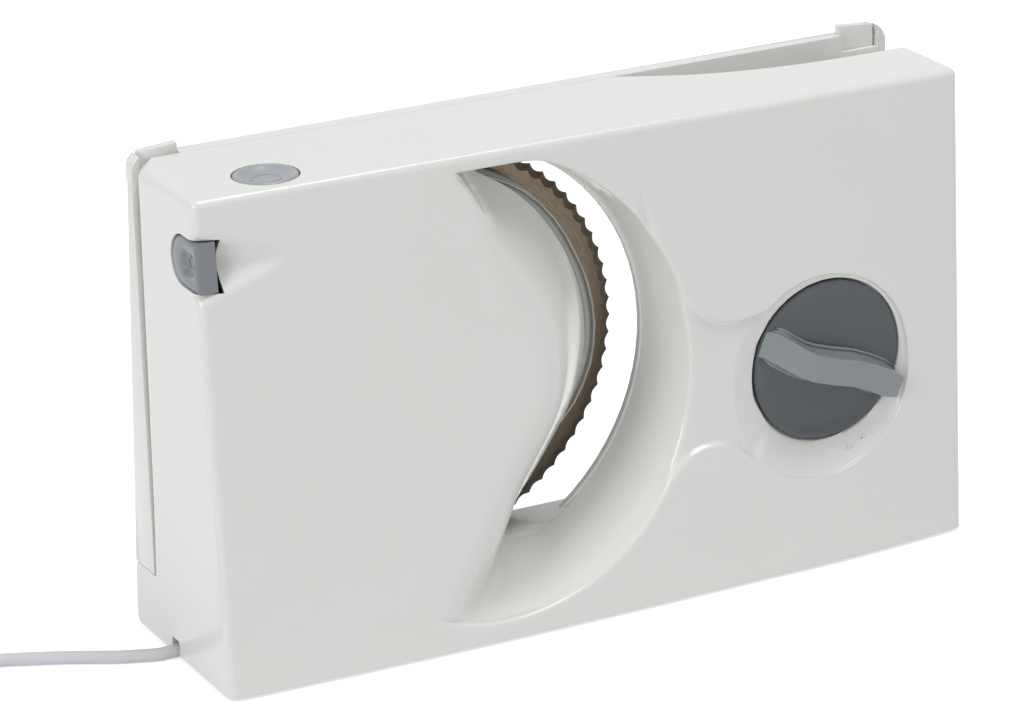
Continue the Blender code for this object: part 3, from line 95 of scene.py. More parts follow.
def start(kind, name, **settings):
    """Adds a primitive mesh and names it."""
    bpy.ops.object.select_all(action="DESELECT")
    getattr(bpy.ops.mesh, f"primitive_{kind}_add")(**settings)
    piece = bpy.context.object
    piece.name = piece.data.name = name
    return piece


def settle(piece):
    """Puts the place, turn and size of an object into its mesh."""
    alone(piece)
    bpy.ops.object.transform_apply(location=True, rotation=True, scale=True)
    return piece


def pick(piece, test, kind="faces"):
    """In edit mode, selects the faces, edges or verts that pass a test, and nothing else."""
    mesh = bmesh.from_edit_mesh(piece.data)
    bpy.ops.mesh.select_mode(type={"faces": "FACE", "edges": "EDGE", "verts": "VERT"}[kind])
    bpy.ops.mesh.select_all(action="DESELECT")
    chosen = [part for part in getattr(mesh, kind) if test(part)]
    for part in chosen:
        part.select_set(True)
    mesh.select_flush_mode()
    bmesh.update_edit_mesh(piece.data)
    return len(chosen)


def modify(piece, kind, **settings):
    """Adds a modifier and applies it."""
    alone(piece)
    modifier = piece.modifiers.new(kind.lower(), kind)
    for key, value in settings.items():
        setattr(modifier, key, value)
    bpy.ops.object.modifier_apply(modifier=modifier.name)
    return piece


def smooth(piece, degrees=35):
    """Smooth shading that keeps edges sharper than an angle."""
    alone(piece)
    bpy.ops.object.shade_smooth_by_angle(angle=math.radians(degrees))
    return piece


def block(name, low, high, rounding, segments=3, around=None):
    """A rounded block between two design corners; around limits which edges are rounded."""
    low, high = at(*low), at(*high)
    piece = start("cube", name, size=1, location=(low + high) / 2, scale=high - low)
    settle(piece)
    bpy.ops.object.mode_set(mode="EDIT")
    pick(piece, around or (lambda edge: True), "edges")
    bpy.ops.mesh.bevel(offset=rounding * MM, segments=segments, affect="EDGES")
    bpy.ops.object.mode_set(mode="OBJECT")
    return smooth(piece)


def stand_in(piece, material, body, slot, *nodes):
    """Gives a piece its material, the body it rides on and the frame pieces that it stands for; the slot is not used.
    """
    piece.data.materials.append(material)
    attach(piece, body)
    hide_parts(*nodes)
    return piece


# %% [markdown]
# ## Camera
# The photograph was taken with a long lens from a little above and to the left. The camera's place was worked out
# from the blade's teeth and the corners of the housing, so each pixel of the photo meets the same point of the model.

# %% Camera
AZIMUTH, ELEVATION = math.radians(28.58), math.radians(21.82)
LOOKS_AT, FROM = (120.87, 0, 115.5), 1.8991     # a design point, and metres away from it
LENS, SENSOR, FAR = 175.78, 36.0, 50.0
forward = Vector((math.sin(AZIMUTH) * math.cos(ELEVATION), math.cos(AZIMUTH) * math.cos(ELEVATION),
                  -math.sin(ELEVATION)))
lens = bpy.data.cameras.new("photo_camera")
lens.lens, lens.sensor_width, lens.clip_end = LENS, SENSOR, FAR
camera = link("photo_camera", lens)
camera.location = at(*LOOKS_AT) - forward * FROM
camera.rotation_euler = forward.to_track_quat("-Z", "Y").to_euler()
bpy.context.scene.camera = camera
bpy.context.scene.view_settings.view_transform = "Standard"
print("camera at", tuple(round(c, 3) for c in camera.location))

# %% [markdown]
# ## Finishes
# Each finish starts from the real material and how its surface was made. Colours are written as they look on a
# screen and turned to linear by one function. The patterns read object coordinates, so they stay on the piece,
# and their sizes come from real millimetres.


# %% Colour and node helpers
def linear(colour):
    """A hex colour as seen on a screen, turned to linear red, green, blue and alpha."""
    parts = [int(colour[i:i + 2], 16) / 255 for i in (1, 3, 5)]
    return tuple(c / 12.92 if c <= 0.04045 else ((c + 0.055) / 1.055) ** 2.4 for c in parts) + (1.0,)


def finish(name, colour, roughness, metallic=0.0, **sockets):
    """A new material with one Principled shader, and its node tree."""
    material = bpy.data.materials.new(name)
    material.use_nodes = True
    shader = material.node_tree.nodes["Principled BSDF"]
    shader.inputs["Base Color"].default_value = linear(colour)
    shader.inputs["Roughness"].default_value = roughness
    shader.inputs["Metallic"].default_value = metallic
    for socket, value in sockets.items():
        shader.inputs[socket.replace("_", " ")].default_value = value
    return material, material.node_tree, shader


def add(tree, kind, inputs=None, **settings):
    """Adds a node; inputs maps socket names to values or to sockets to link from."""
    node = tree.nodes.new(kind)
    for key, value in settings.items():
        setattr(node, key, value)
    for key, value in (inputs or {}).items():
        if isinstance(value, bpy.types.NodeSocket):
            tree.links.new(value, node.inputs[key])
        else:
            node.inputs[key].default_value = value
    return node


def blend(tree, factor, one, other):
    """The mix of two colours, each of them a value or a socket."""
    return add(tree, "ShaderNodeMix", {"Factor": factor, "A": one, "B": other}, data_type="RGBA").outputs["Result"]


def dress(tree, shader, tone, uneven, least, most, relief, depth_mm):
    """Links a shader's tone, its roughness from least to most where a noise is uneven, and its relief."""
    gloss = add(tree, "ShaderNodeMapRange", {"Value": uneven, "From Min": 0.3, "From Max": 0.7,
                                             "To Min": least, "To Max": most})
    bump = add(tree, "ShaderNodeBump", {"Height": relief, "Strength": 1.0, "Distance": depth_mm * MM})
    tree.links.new(tone, shader.inputs["Base Color"])
    tree.links.new(gloss.outputs["Result"], shader.inputs["Roughness"])
    tree.links.new(bump.outputs["Normal"], shader.inputs["Normal"])


def grained(name, colour, other, roughness, spread, grain_mm, depth_mm, patch_mm=30.0, metallic=0.0, **sockets):
    """A moulded or cast finish: two near tones in soft patches, uneven gloss, and a fine surface grain."""
    material, tree, shader = finish(name, colour, roughness, metallic, **sockets)
    place = add(tree, "ShaderNodeTexCoord").outputs["Object"]
    patches = add(tree, "ShaderNodeTexNoise", {"Vector": place, "Scale": 1000 / patch_mm, "Detail": 3.0}).outputs["Fac"]
    grain = add(tree, "ShaderNodeTexNoise", {"Vector": place, "Scale": 1000 / grain_mm, "Detail": 2.0}).outputs["Fac"]
    tone = blend(tree, patches, linear(colour), linear(other))
    dress(tree, shader, tone, patches, roughness - spread, roughness + spread, grain, depth_mm)
    return material


# %% [markdown]
# The shell, table and carriage are ABS, injection moulded in a polished tool. Such a skin is glossy, but it is never
# a perfect mirror: it has long soft waves from the melt's flow, and the gloss varies a little from patch to patch.

# %% White housing plastic
WHITE = grained("abs_moulded_white_gloss", "#EAEAE8", "#E7E7E4", 0.17, 0.02, 22.0, 0.010, 45.0, IOR=1.54)
# The inside and the chassis plate come from a plainer tool: the same white, with a duller skin.
INNER_WHITE = grained("abs_moulded_white_satin", "#E2E1DC", "#DDDCD6", 0.42, 0.05, 1.2, 0.006, 30.0, IOR=1.54)
# The chassis plate's darker warm grey is painted shade, for the shade deep behind the bulge.
CHASSIS_PAINTED_SHADE = grained("abs_moulded_warm_grey_satin", "#B4B4AC", "#ADADA4", 0.38, 0.05, 1.2, 0.006, 30.0, IOR=1.54)
print("finishes of the shell:", len(bpy.data.materials))

# %% [markdown]
# The knob and the two buttons are ABS coloured in the mass. Their tool was spark eroded, which leaves a fine even
# grain that spreads the light. A real grain of 0.1 mm can't show at this size, so it is drawn over three times as
# coarse.

# %% Grey plastics
KNOB_GREY = grained("abs_spark_eroded_slate", "#4A5154", "#454C50", 0.34, 0.04, 0.35, 0.004, 20.0, IOR=1.54)
# The grip is the knob's own slate plastic drawn lighter: painted light, as its raised top catches the lamps.
GRIP_PAINTED_LIGHT = grained("abs_polished_slate_painted_light", "#8D9497", "#888F92", 0.20, 0.03, 6.0, 0.004, 20.0, IOR=1.54)
BUTTON_GREY = grained("abs_spark_eroded_light_grey", "#A6ABAF", "#A0A5A9", 0.30, 0.04, 0.35, 0.004, 12.0, IOR=1.54)
# The on/off button is the safety button's light grey plastic drawn darker: painted shade, which offsets the strong
# light of the left lamp on its side.
SIDE_PAINTED_SHADE = grained("abs_polished_light_grey_painted_shade", "#83888D", "#7D8287", 0.22, 0.04, 4.0, 0.004, 12.0, IOR=1.54)
DARK_PLASTIC = grained("polyamide_moulded_dark", "#3A3D40", "#34373A", 0.45, 0.05, 0.5, 0.006, 15.0, IOR=1.53)
print("grey plastics, the lightest first:", BUTTON_GREY.name, GRIP_PAINTED_LIGHT.name, SIDE_PAINTED_SHADE.name, KNOB_GREY.name)

# %% [markdown]
# The blade is stainless steel, ground on a turning table, so fine scratches run round its middle. They pull each
# reflection out sideways. Rings of noise about the blade's axis draw them: the distance from the axis is stretched
# far more than the angle, which turns soft noise into long thin arcs.


# %% Ground steel
ARC = 0.012                                 # how little the angle counts beside the radius, so that arcs are long


def ground_about(name, front, back, back_from, roughness, x, z, line_mm, depth_mm):
    """Steel ground in rings about an axis through a design point; its front and its back have two tones each."""
    material, tree, shader = finish(name, front[0], roughness, 1.0)
    place = add(tree, "ShaderNodeTexCoord").outputs["Object"]
    centre = at(x, 0, z)
    centred = add(tree, "ShaderNodeMapping", {"Vector": place, "Location": (-centre.x, -centre.y, -centre.z)})
    axes = add(tree, "ShaderNodeSeparateXYZ", {"Vector": centred.outputs["Vector"]})
    flat = add(tree, "ShaderNodeCombineXYZ", {"X": axes.outputs["X"], "Y": axes.outputs["Z"]})
    radius = add(tree, "ShaderNodeVectorMath", {0: flat.outputs["Vector"]}, operation="LENGTH")
    turn = add(tree, "ShaderNodeVectorMath", {0: flat.outputs["Vector"]}, operation="NORMALIZE")
    spread = add(tree, "ShaderNodeVectorMath", {0: turn.outputs["Vector"], "Scale": ARC}, operation="SCALE")
    parts = add(tree, "ShaderNodeSeparateXYZ", {"Vector": spread.outputs["Vector"]})
    ringed = add(tree, "ShaderNodeCombineXYZ", {"X": parts.outputs["X"], "Y": parts.outputs["Y"],
                                                "Z": radius.outputs["Value"]})
    lines = add(tree, "ShaderNodeTexNoise", {"Vector": ringed.outputs["Vector"], "Scale": 1000 / line_mm,
                                             "Detail": 4.0}).outputs["Fac"]
    depth = add(tree, "ShaderNodeSeparateXYZ", {"Vector": place})
    behind = add(tree, "ShaderNodeMath", {0: depth.outputs["Y"], 1: at(0, back_from, 0).y}, operation="GREATER_THAN")
    tone = blend(tree, behind.outputs["Value"], blend(tree, lines, linear(front[0]), linear(front[1])),
                 blend(tree, lines, linear(back[0]), linear(back[1])))
    dress(tree, shader, tone, lines, roughness - 0.06, roughness + 0.08, lines, depth_mm)
    return material


# In the picture the blade's front mirrors a dark room, which this bright scene lacks, so the front carries that dark
# tone as a painted reflection. The back, which faces the table, is a neutral grey.
PAINTED_REFLECTION_TONES, BACK_TONES = ("#766B5C", "#655B4E"), ("#83817D", "#7C7A76")
BLADE_STEEL = ground_about("stainless_ground_in_rings", PAINTED_REFLECTION_TONES, BACK_TONES, back_from=55.3, roughness=0.30,
                           x=BLADE_X, z=BLADE_Z, line_mm=0.8, depth_mm=0.002)
print("blade finish:", BLADE_STEEL.name)

# %% [markdown]
# The other metals are small: zinc plated screws and rods, copper windings, brass bushes and plug pins. They get a
# soft tone change and a fine grain, as plating and drawing leave.

# %% Small metals and inner materials
STEEL = grained("steel_zinc_plated", "#B9BAB8", "#A3A5A6", 0.32, 0.07, 0.3, 0.003, 6.0, metallic=1.0)
COPPER = grained("copper_enamelled_wire", "#B8734A", "#94552F", 0.36, 0.06, 0.4, 0.02, 3.0, metallic=1.0)
BRASS = grained("brass_drawn", "#C6A866", "#B08F4F", 0.30, 0.06, 0.4, 0.003, 5.0, metallic=1.0)
NYLON = grained("polyamide_moulded_natural", "#DAD5C6", "#CFC9B8", 0.40, 0.05, 0.6, 0.006, 12.0, IOR=1.53)
BOARD = grained("phenolic_board_pressed", "#8F6A3C", "#7B5930", 0.55, 0.06, 0.5, 0.01, 4.0)
RUBBER = grained("rubber_moulded_black", "#232324", "#2C2C2C", 0.75, 0.06, 0.4, 0.01, 5.0)
FINISHES = {"white_plastic": INNER_WHITE, "dark_grey_plastic": DARK_PLASTIC, "light_grey_plastic": BUTTON_GREY,
            "blade_steel": BLADE_STEEL, "steel": STEEL, "copper": COPPER, "brass": BRASS, "nylon": NYLON,
            "circuit_board": BOARD, "rubber": RUBBER}
print("frame materials with a finish:", len(FINISHES))

# %% [markdown]
# The mains lead has a soft PVC jacket. It is a touch bluer and duller than the housing, and its skin shows a faint
# ripple from the core strands under it, about 4 mm long.

# %% Lead jacket
CORD_WHITE = grained("pvc_extruded_cool_white", "#DFDEE4", "#D9D8DF", 0.36, 0.04, 4.0, 0.02, 25.0, IOR=1.53)
FINISHES["cord_white"] = CORD_WHITE
print("finishes:", len(bpy.data.materials))

# %% [markdown]
# ## Mains lead
# Only the first stretch of the lead is in the picture. The rest is put away beyond the left edge in two layers of
# turns, with the plug beside them. The lead is one curve, so it can't have a gap or a sharp kink: it leaves through
# the slot in the base, runs along the table top, coils inwards, climbs one diameter in half a turn, and coils out.

# %% Route of the lead
CORD_RADIUS = 2.6
CORD_Y = 48.8
CORD_LIFT = 1.15                            # height of the lead's middle on the table top
GAP = 0.3
COIL_X, COIL_Y, COIL_START = -122.0, 41.1, 92.0
COIL_TURNS, COIL_RADIUS, COIL_PITCH, LOOP_POINTS = 2.25, 29.0, 6.0, 24
TAIL, PLUG_Z = 62, 6.85 - 1.5               # from coil to plug, and the height of the plug's middle
ROUTE = ((2.6, CORD_Y), (-2, 48.6), (-7, 48.6), (-14, 50.8), (-21.6, 53.7), (-28.4, 57.1), (-35.2, 60.7), (-42, 64.1),
         (-49.1, 67.2), (-62.9, 73.0), (-80, 78.0), (-97, 80.0))


def ease(value):
    """A soft step from 0 to 1."""
    value = np.clip(value, 0.0, 1.0)
    return value * value * (3 - 2 * value)


def coil_points():
    """Two layers of turns: in along the table top, up one diameter in half a turn, and out again."""
    spread = COIL_PITCH * COIL_TURNS
    inner, outer = COIL_RADIUS - spread / 2, COIL_RADIUS + spread / 2
    count, climb = int(COIL_TURNS * LOOP_POINTS), LOOP_POINTS // 2
    points = []
    for i in range(2 * count + climb + 1):
        turn = math.radians(COIL_START) + 2 * math.pi * i / LOOP_POINTS
        if i <= count:
            radius, height = outer - spread * i / count, 0.0
        elif i <= count + climb:
            share = (i - count) / climb
            radius, height = inner - math.sin(math.pi * share), COIL_PITCH * float(ease(share))
        else:
            radius, height = inner + spread * (i - count - climb) / count, COIL_PITCH
        points.append(Vector((COIL_X + radius * math.cos(turn), COIL_Y + radius * math.sin(turn), CORD_LIFT + height)))
    return points


coil = coil_points()
arriving = (coil[1] - coil[0]).normalized()
leaving = (coil[-1] - coil[-2]).normalized()
route = [Vector((x, y, CORD_LIFT)) for x, y in ROUTE] + [coil[0] - arriving * 9]
plug_start = coil[-1] + leaving * (GAP + TAIL)
plug_start.z = PLUG_Z
tail = [coil[-1] + leaving * 9, coil[-1] + leaving * 20, coil[-1] + leaving * 37, plug_start - leaving * 10, plug_start]
tail[0].z = tail[1].z = CORD_LIFT + COIL_PITCH
tail[2].z = (CORD_LIFT + COIL_PITCH + plug_start.z) / 2
tail[3].z = plug_start.z
path = [at(*point) for point in route + coil + tail]
print("points on the lead:", len(path))

# %% The lead as one curve
curve = bpy.data.curves.new("mains_lead", "CURVE")
curve.dimensions = "3D"
curve.bevel_depth = CORD_RADIUS * MM
curve.bevel_resolution = 5
curve.resolution_u = 5
curve.use_fill_caps = True
spline = curve.splines.new("BEZIER")
spline.bezier_points.add(len(path) - 1)
for knot, point in zip(spline.bezier_points, path):
    knot.co = point
    knot.handle_left_type = knot.handle_right_type = "AUTO"
lead = stand_in(link("mains_lead", curve), CORD_WHITE, "housing", "cord_white",
                "cord_stretch", "cord_coil", "cord_tail")
print("lead:", len(spline.bezier_points), "points of one curve")

# %% [markdown]
# ## Plug
# The plug is the flat two-pin kind: a soft body with a waist to hold, a neck of rings that lets the lead bend
# without breaking, and two round pins. It is drawn as rings along the end of the lead.

# %% A skin over rings
def skin(name, rings, closed=True):
    """A piece made of rings of frame points joined one to the next, with its ends closed."""
    mesh = bmesh.new()
    loops = [[mesh.verts.new(point) for point in ring] for ring in rings]
    count = len(loops[0])
    for near, far in zip(loops, loops[1:]):
        for k in range(count):
            mesh.faces.new((near[k - 1], near[k], far[k], far[k - 1]))
    if closed:
        mesh.faces.new(loops[0])
        mesh.faces.new(list(reversed(loops[-1])))
    bmesh.ops.recalc_face_normals(mesh, faces=mesh.faces)
    data = bpy.data.meshes.new(name)
    mesh.to_mesh(data)
    mesh.free()
    return link(name, data)


# %% Plug body and its pins
STATIONS = ((0, 3.9, 3.9), (1.2, 3.9, 3.9), (1.8, 3.3, 3.3), (3.0, 3.3, 3.3), (3.6, 4.1, 4.1), (5.2, 4.1, 4.1),
            (5.8, 3.5, 3.5), (7.0, 3.5, 3.5), (7.6, 4.4, 4.2), (9.4, 4.5, 4.3), (12.0, 5.6, 5.2), (16.0, 7.0, 6.6),
            (22.0, 6.6, 6.2), (28.0, 7.2, 6.7), (34.0, 7.5, 6.8), (36.8, 7.2, 6.5), (38.0, 6.4, 5.7))
PIN_STATIONS = ((0.5, 2.0), (9.6, 2.0), (9.7, 1.9), (18.2, 1.9), (19.0, 1.3))
PLUG_END, PIN_OFFSET = 38.2, 4.6
side = Vector((-leaving.y, leaving.x, 0))


def oval_ring(middle, wide, high, count):
    """A ring of frame points across the end of the lead."""
    return [at(*(middle + side * wide * math.cos(a) + Vector((0, 0, high * math.sin(a))))) for a in round_turn(count)]


rings = [oval_ring(plug_start + leaving * (GAP + along), wide, high, 32) for along, wide, high in STATIONS]
plug = stand_in(smooth(skin("plug", rings), 40), CORD_WHITE, "housing", "cord_white", "plug_body")
for name, offset in (("front", -PIN_OFFSET), ("back", PIN_OFFSET)):
    rings = [oval_ring(plug_start + leaving * (PLUG_END + along) + side * offset, radius, radius, 20)
             for along, radius in PIN_STATIONS]
    pin = smooth(skin("plug_pin_" + name + "_turned", rings), 40)
    stand_in(pin, BRASS, "housing", "brass", "plug_pin_" + name)
print("plug at", tuple(round(c, 3) for c in at(*plug_start)))

# %% [markdown]
# ## Shell
# The shell is one moulding: a leaning front face, the crescent exit with the bulge that covers the blade, the dish
# round the knob, a finger scoop beside the on/off button, and a shallow neck between exit and dish. Such a face
# could be cut with Booleans, but their edges catch the light badly on glossy plastic. So the exit and the dish are
# made as rings of profiles, as a turner would draw them, with every corner rounded by averaging along the profile.
# What lies between them is filled with triangles on the face's own formula, so the light runs over it unbroken.


# %% Heights of the face
BEND_X, BOW, SET_BACK = 240, 1.8, 5.5       # the bow ends where the right end starts to set back
LEAN, LEAN_LESS = 24, 4                     # the lean of the left end, and how much less the right end has


def plain_front(x, z):
    """How far back the plain face is: it leans, bows forward low on the left, and sets back at the right end."""
    low = np.where(x <= BEND_X, -BOW * np.sin(np.pi * x / BEND_X), SET_BACK * ((x - BEND_X) / (LENGTH - BEND_X)) ** 2)
    return low + (LEAN - LEAN_LESS * x / LENGTH - low) * z / HEIGHT


def through(points):
    """A smooth curve through points, as a function that also gives its slope."""
    xs, zs = np.array(points, float).T
    slopes = np.gradient(zs, xs)

    def curve(x):
        i = np.clip(np.searchsorted(xs, x) - 1, 0, len(xs) - 2)
        step = xs[i + 1] - xs[i]
        t = np.clip((x - xs[i]) / step, 0, 1)
        value = ((1 + 2 * t) * (1 - t) ** 2 * zs[i] + t * (1 - t) ** 2 * step * slopes[i]
                 + t * t * (3 - 2 * t) * zs[i + 1] + t * t * (t - 1) * step * slopes[i + 1])
        slope = (1 - t) * slopes[i] + t * slopes[i + 1]
        return value, slope
    return curve


NECK_TOP = through(((188, 168), (195, 145.6), (203, 126.5), (211.5, 114.7), (219, 109.8), (227, 107.9), (235, 108.2),
                    (240.9, 109.5), (252, 112)))
NECK_LOW = through(((188, 44), (196.6, 50.6), (202, 54.8), (208.4, 57.7), (215, 58.4), (222.1, 57.1), (228, 53.6),
                    (233, 49.5), (240, 46.5), (252, 46)))
NECK_DEPTH, NECK_RAMP = 2.1, 2.0
NECK_IN, NECK_OUT = (186, 7), (240, 10)     # where the neck fades in and out, and over what length
SCOOP_TIP, SCOOP_HIGH, SCOOP_DEEP = 37.0, 13.2, 8.8


def face(x, z):
    """The face with its neck and finger scoop."""
    x, z = np.asarray(x, float), np.asarray(z, float)
    top, top_slope = NECK_TOP(x)
    low, low_slope = NECK_LOW(x)
    from_top = (top - z) / np.sqrt(1 + top_slope ** 2)
    from_low = (z - low) / np.sqrt(1 + low_slope ** 2)
    ends = ease((x - NECK_IN[0]) / NECK_IN[1]) * (1 - ease((x - NECK_OUT[0]) / NECK_OUT[1]))
    neck = NECK_DEPTH * ease(from_top / NECK_RAMP) * ease(from_low / NECK_RAMP) * ends
    share = np.clip(1 - x / SCOOP_TIP, 0, 1)
    high, deep = 0.6 + SCOOP_HIGH * share ** 0.85, SCOOP_DEEP * share
    across = np.clip(np.abs(z - SIDE_BUTTON_Z) / high, 0, 1)
    return plain_front(x, z) + neck + deep * (1 - across ** 2) ** 1.15


print("face at the middle of the blade:", round(float(face(BLADE_X, BLADE_Z)), 2), "mm back")

# %% [markdown]
# The exit is drawn as profiles that start at the blade's axis, one for each degree. A profile runs over the bulge to
# its lip, and then up the outer wall to the face. Above and below the crescent the bulge meets the wall, and there
# the two close into one valley.


# %% Profiles round the blade
MOUTH_FRONT, MOUTH_DEEP, MOUTH_BACK = 8.0, 29.6, 37.6   # depths of the exit's outer wall
MOUTH_CENTRE, MOUTH_SHIFT = (118, 99), (7.8, 2.7)       # the wall's middle in front; at the back it is the blade's axis
MOUTH_RADIUS, MOUTH_TOP, CHUTE = 90.5, 185.7, 4


def mouth_radius(turn, y):
    """Distance from the blade axis to the outer wall of the exit: round, flat under the top, flat chute floor."""
    share = (y - MOUTH_FRONT) / MOUTH_DEEP
    cx, cz = MOUTH_CENTRE[0] - MOUTH_SHIFT[0] * share - BLADE_X, MOUTH_CENTRE[1] + MOUTH_SHIFT[1] * share - BLADE_Z
    c, s = math.cos(turn), math.sin(turn)
    along = cx * c + cz * s
    radius = along + np.sqrt((MOUTH_RADIUS - 0.5 * share) ** 2 - (cx ** 2 + cz ** 2 - along ** 2))
    top = (MOUTH_TOP - BLADE_Z) / max(s, 0.05)
    floor = (BLADE_Z - CHUTE - 0.5 * y) / max(-s, 0.05)
    return (radius ** -90.0 + top ** -90.0 + floor ** -90.0) ** (-1 / 90)


# Angle in degrees and radius: of the bulge's lip, and of its flat middle.
LIP_TABLE = np.array((
    (-180, 150), (-112, 150), (-104, 146), (-96, 136), (-90, 124), (-84, 110), (-78, 96), (-72, 84), (-66, 74.8),
    (-59, 70.4), (-49, 66.8), (-40, 64.8), (-30, 64.4), (-10, 64.6), (10, 65.0), (26, 65.9), (41, 67.9), (55, 71.2),
    (69, 75.0), (81, 79.0), (87, 88), (94, 99), (104, 110), (120, 112), (180, 112)))
FLAT_TABLE = np.array((
    (-180, 97), (-114, 97), (-108, 92), (-102, 81), (-96, 66), (-90, 53), (-84, 44), (-78, 38), (-72, 34), (-66, 31.5),
    (-59, 29.5), (-49, 28), (40, 27.5), (50, 29), (60, 33), (68, 39.5), (75, 47.5), (81, 57), (87, 70), (92, 84),
    (97, 94), (104, 96), (180, 96)))


def bulge_radii(turn):
    """Radius of the bulge's flat middle and of its lip, from the two tables, averaged over 9 degrees to each side."""
    spread = np.linspace(-9, 9, 19)
    weights = np.exp(-0.5 * (spread / 3.8) ** 2)
    return [float((np.interp(math.degrees(turn) + spread, *table.T) * weights).sum() / weights.sum())
            for table in (FLAT_TABLE, LIP_TABLE)]


print("bulge at the right, flat and lip:", [round(value, 2) for value in bulge_radii(0.0)], "mm from the axis")


def even(points, step=0.2):
    """Points at even steps along a profile, with the distance run at each."""
    points = np.asarray(points, float)
    runs = np.concatenate(([0], np.cumsum(np.hypot(*np.diff(points, axis=0).T))))
    spots = np.linspace(0, runs[-1], max(int(runs[-1] / step), 8))
    return np.column_stack([np.interp(spots, runs, points[:, k]) for k in (0, 1)]), spots


def averaged(points, reach):
    """A profile averaged along itself, which rounds its corners; its ends stay."""
    width = max(int(reach / 0.2), 1)
    kernel = np.exp(-0.5 * (np.arange(-3 * width, 3 * width + 1) / width) ** 2)
    kernel /= kernel.sum()
    pad = min(3 * width, len(points) - 1)
    before = 2 * points[0] - points[pad:0:-1]
    after = 2 * points[-1] - points[-2:-pad - 2:-1]
    long = np.vstack([before, points, after])
    made = np.column_stack([np.convolve(long[:, k], kernel, "same") for k in (0, 1)])
    return made[pad:pad + len(points)]


def rows(length, focus, count, reach=4.0):
    """Spots along a length, closer together near the focus."""
    spots = np.linspace(0, length, 400)
    crowd = np.cumsum(1 + 4 * np.exp(-((spots - focus) / reach) ** 2))
    crowd = (crowd - crowd[0]) / (crowd[-1] - crowd[0])
    return np.interp(np.linspace(0, 1, count), crowd, spots)


def take(profile, spots, wanted):
    """The points of a profile at the wanted spots along it."""
    return np.column_stack([np.interp(wanted, spots, profile[:, k]) for k in (0, 1)])


# %% One profile of the exit
INNER_ROWS, OUTER_ROWS, TURNS = 36, 36, 360
BORDER, BORDER_TOP, BORDER_LOW = 5.0, 189.4, 0.8    # width of face round the exit, and heights that it keeps between
BEND, LIP_DEPTH = 0.575, 40     # share of the bulge's slope that is curved, the rest is straight; depth of its lip


def exit_profile(turn):
    """Points (radius, depth) of the bulge, and of the wall and its rim, at one angle about the blade axis."""
    c, s = math.cos(turn), math.sin(turn)

    def height(radius):
        return face(BLADE_X + radius * c, BLADE_Z + radius * s)

    rim = mouth_radius(turn, MOUTH_FRONT)
    for _ in range(8):                      # the rim lies where wall and face meet, and both depend on it
        rim_depth = float(height(rim))
        rim = float(mouth_radius(turn, rim_depth))
    border = BORDER
    if s > 0.2:
        border = min(border, (BORDER_TOP - BLADE_Z) / s - rim)
    if s < -0.2:
        border = min(border, (BLADE_Z - BORDER_LOW) / -s - rim)
    flat, lip = bulge_radii(turn)
    share = np.linspace(0, 1, 181)
    radius = flat + (lip - flat) * share
    start_depth = height(radius)
    start_of = np.clip(share / BEND, 0, 1)
    rise = np.where(share < BEND, BEND * (start_of ** 3 - start_of ** 4 / 2), share - BEND / 2) / (1 - BEND / 2)
    depth = start_depth + (LIP_DEPTH - start_depth) * rise
    wall = mouth_radius(turn, depth)
    inside = (radius < wall) & (depth < MOUTH_BACK)
    closed = not np.all(inside | (depth >= MOUTH_BACK)) or flat >= rim
    if flat >= rim:
        bulge, meet = np.empty((0, 2)), rim_depth
    elif closed:
        k = int(np.argmax(radius >= wall))
        over, under = radius[k] - wall[k], wall[k - 1] - radius[k - 1]
        mix = under / (over + under)
        bulge = np.column_stack([radius[:k], depth[:k]])
        bulge = np.vstack([bulge, bulge[-1] * (1 - mix) + np.array([radius[k], depth[k]]) * mix])
        meet = float(bulge[-1, 1])
    else:
        bulge, meet = np.column_stack([radius, depth]), MOUTH_BACK
    end = min(flat, rim)
    spots = np.linspace(0, end, 40)
    inner = np.vstack([np.column_stack([spots, height(spots)]), bulge[1:]])
    levels = np.linspace(meet, rim_depth, 60) if meet > rim_depth + 0.01 else np.array([rim_depth])
    outer = np.column_stack([mouth_radius(turn, levels), levels])
    if closed:
        outer[0] = inner[-1]
    spots = np.linspace(rim, rim + border, 20)[1:]
    outer = np.vstack([outer, np.column_stack([spots, height(spots)])])
    reach = min(1.3, 0.42 * border)
    if closed:
        whole, runs = even(np.vstack([inner, outer[1:]]))
        valley = np.hypot(*np.diff(inner, axis=0).T).sum()
        corner = runs[-1] - border
        angle = math.degrees(turn)
        fill = 1.2 + (7.0 * float(ease((-66 - angle) / 22)) if angle < 0 else 3.3 * float(ease((angle - 84) / 10)))
        soft, softer = averaged(whole, fill), averaged(whole, reach)
        share = ease((runs - (corner - 5)) / 4)[:, None]
        whole = soft * (1 - share) + softer * share
        return (take(whole, runs, rows(valley, valley, INNER_ROWS)),
                take(whole, runs, valley + rows(runs[-1] - valley, corner - valley, OUTER_ROWS)), closed)
    inner, inner_runs = even(inner)
    outer, outer_runs = even(outer)
    outer = averaged(outer, reach)
    return (take(inner, inner_runs, rows(inner_runs[-1], inner_runs[-1], INNER_ROWS)),
            take(outer, outer_runs, rows(outer_runs[-1], outer_runs[-1] - border, OUTER_ROWS)), closed)


profiles = []
for turn in round_turn(TURNS):
    profiles.append((turn, *exit_profile(turn if turn <= math.pi else turn - 2 * math.pi)))
print("profiles that are closed:", sum(p[3] for p in profiles), "of", TURNS)

# %% Exit mesh
shell = bmesh.new()


def ring_grid(grid):
    """Adds a closed grid of design points, one column for each angle, to the shell."""
    made = [[shell.verts.new(point) for point in column] for column in grid]
    for i in range(len(made)):
        near, far = made[i - 1], made[i]
        for j in range(len(near) - 1):
            shell.faces.new((near[j], near[j + 1], far[j + 1], far[j]))


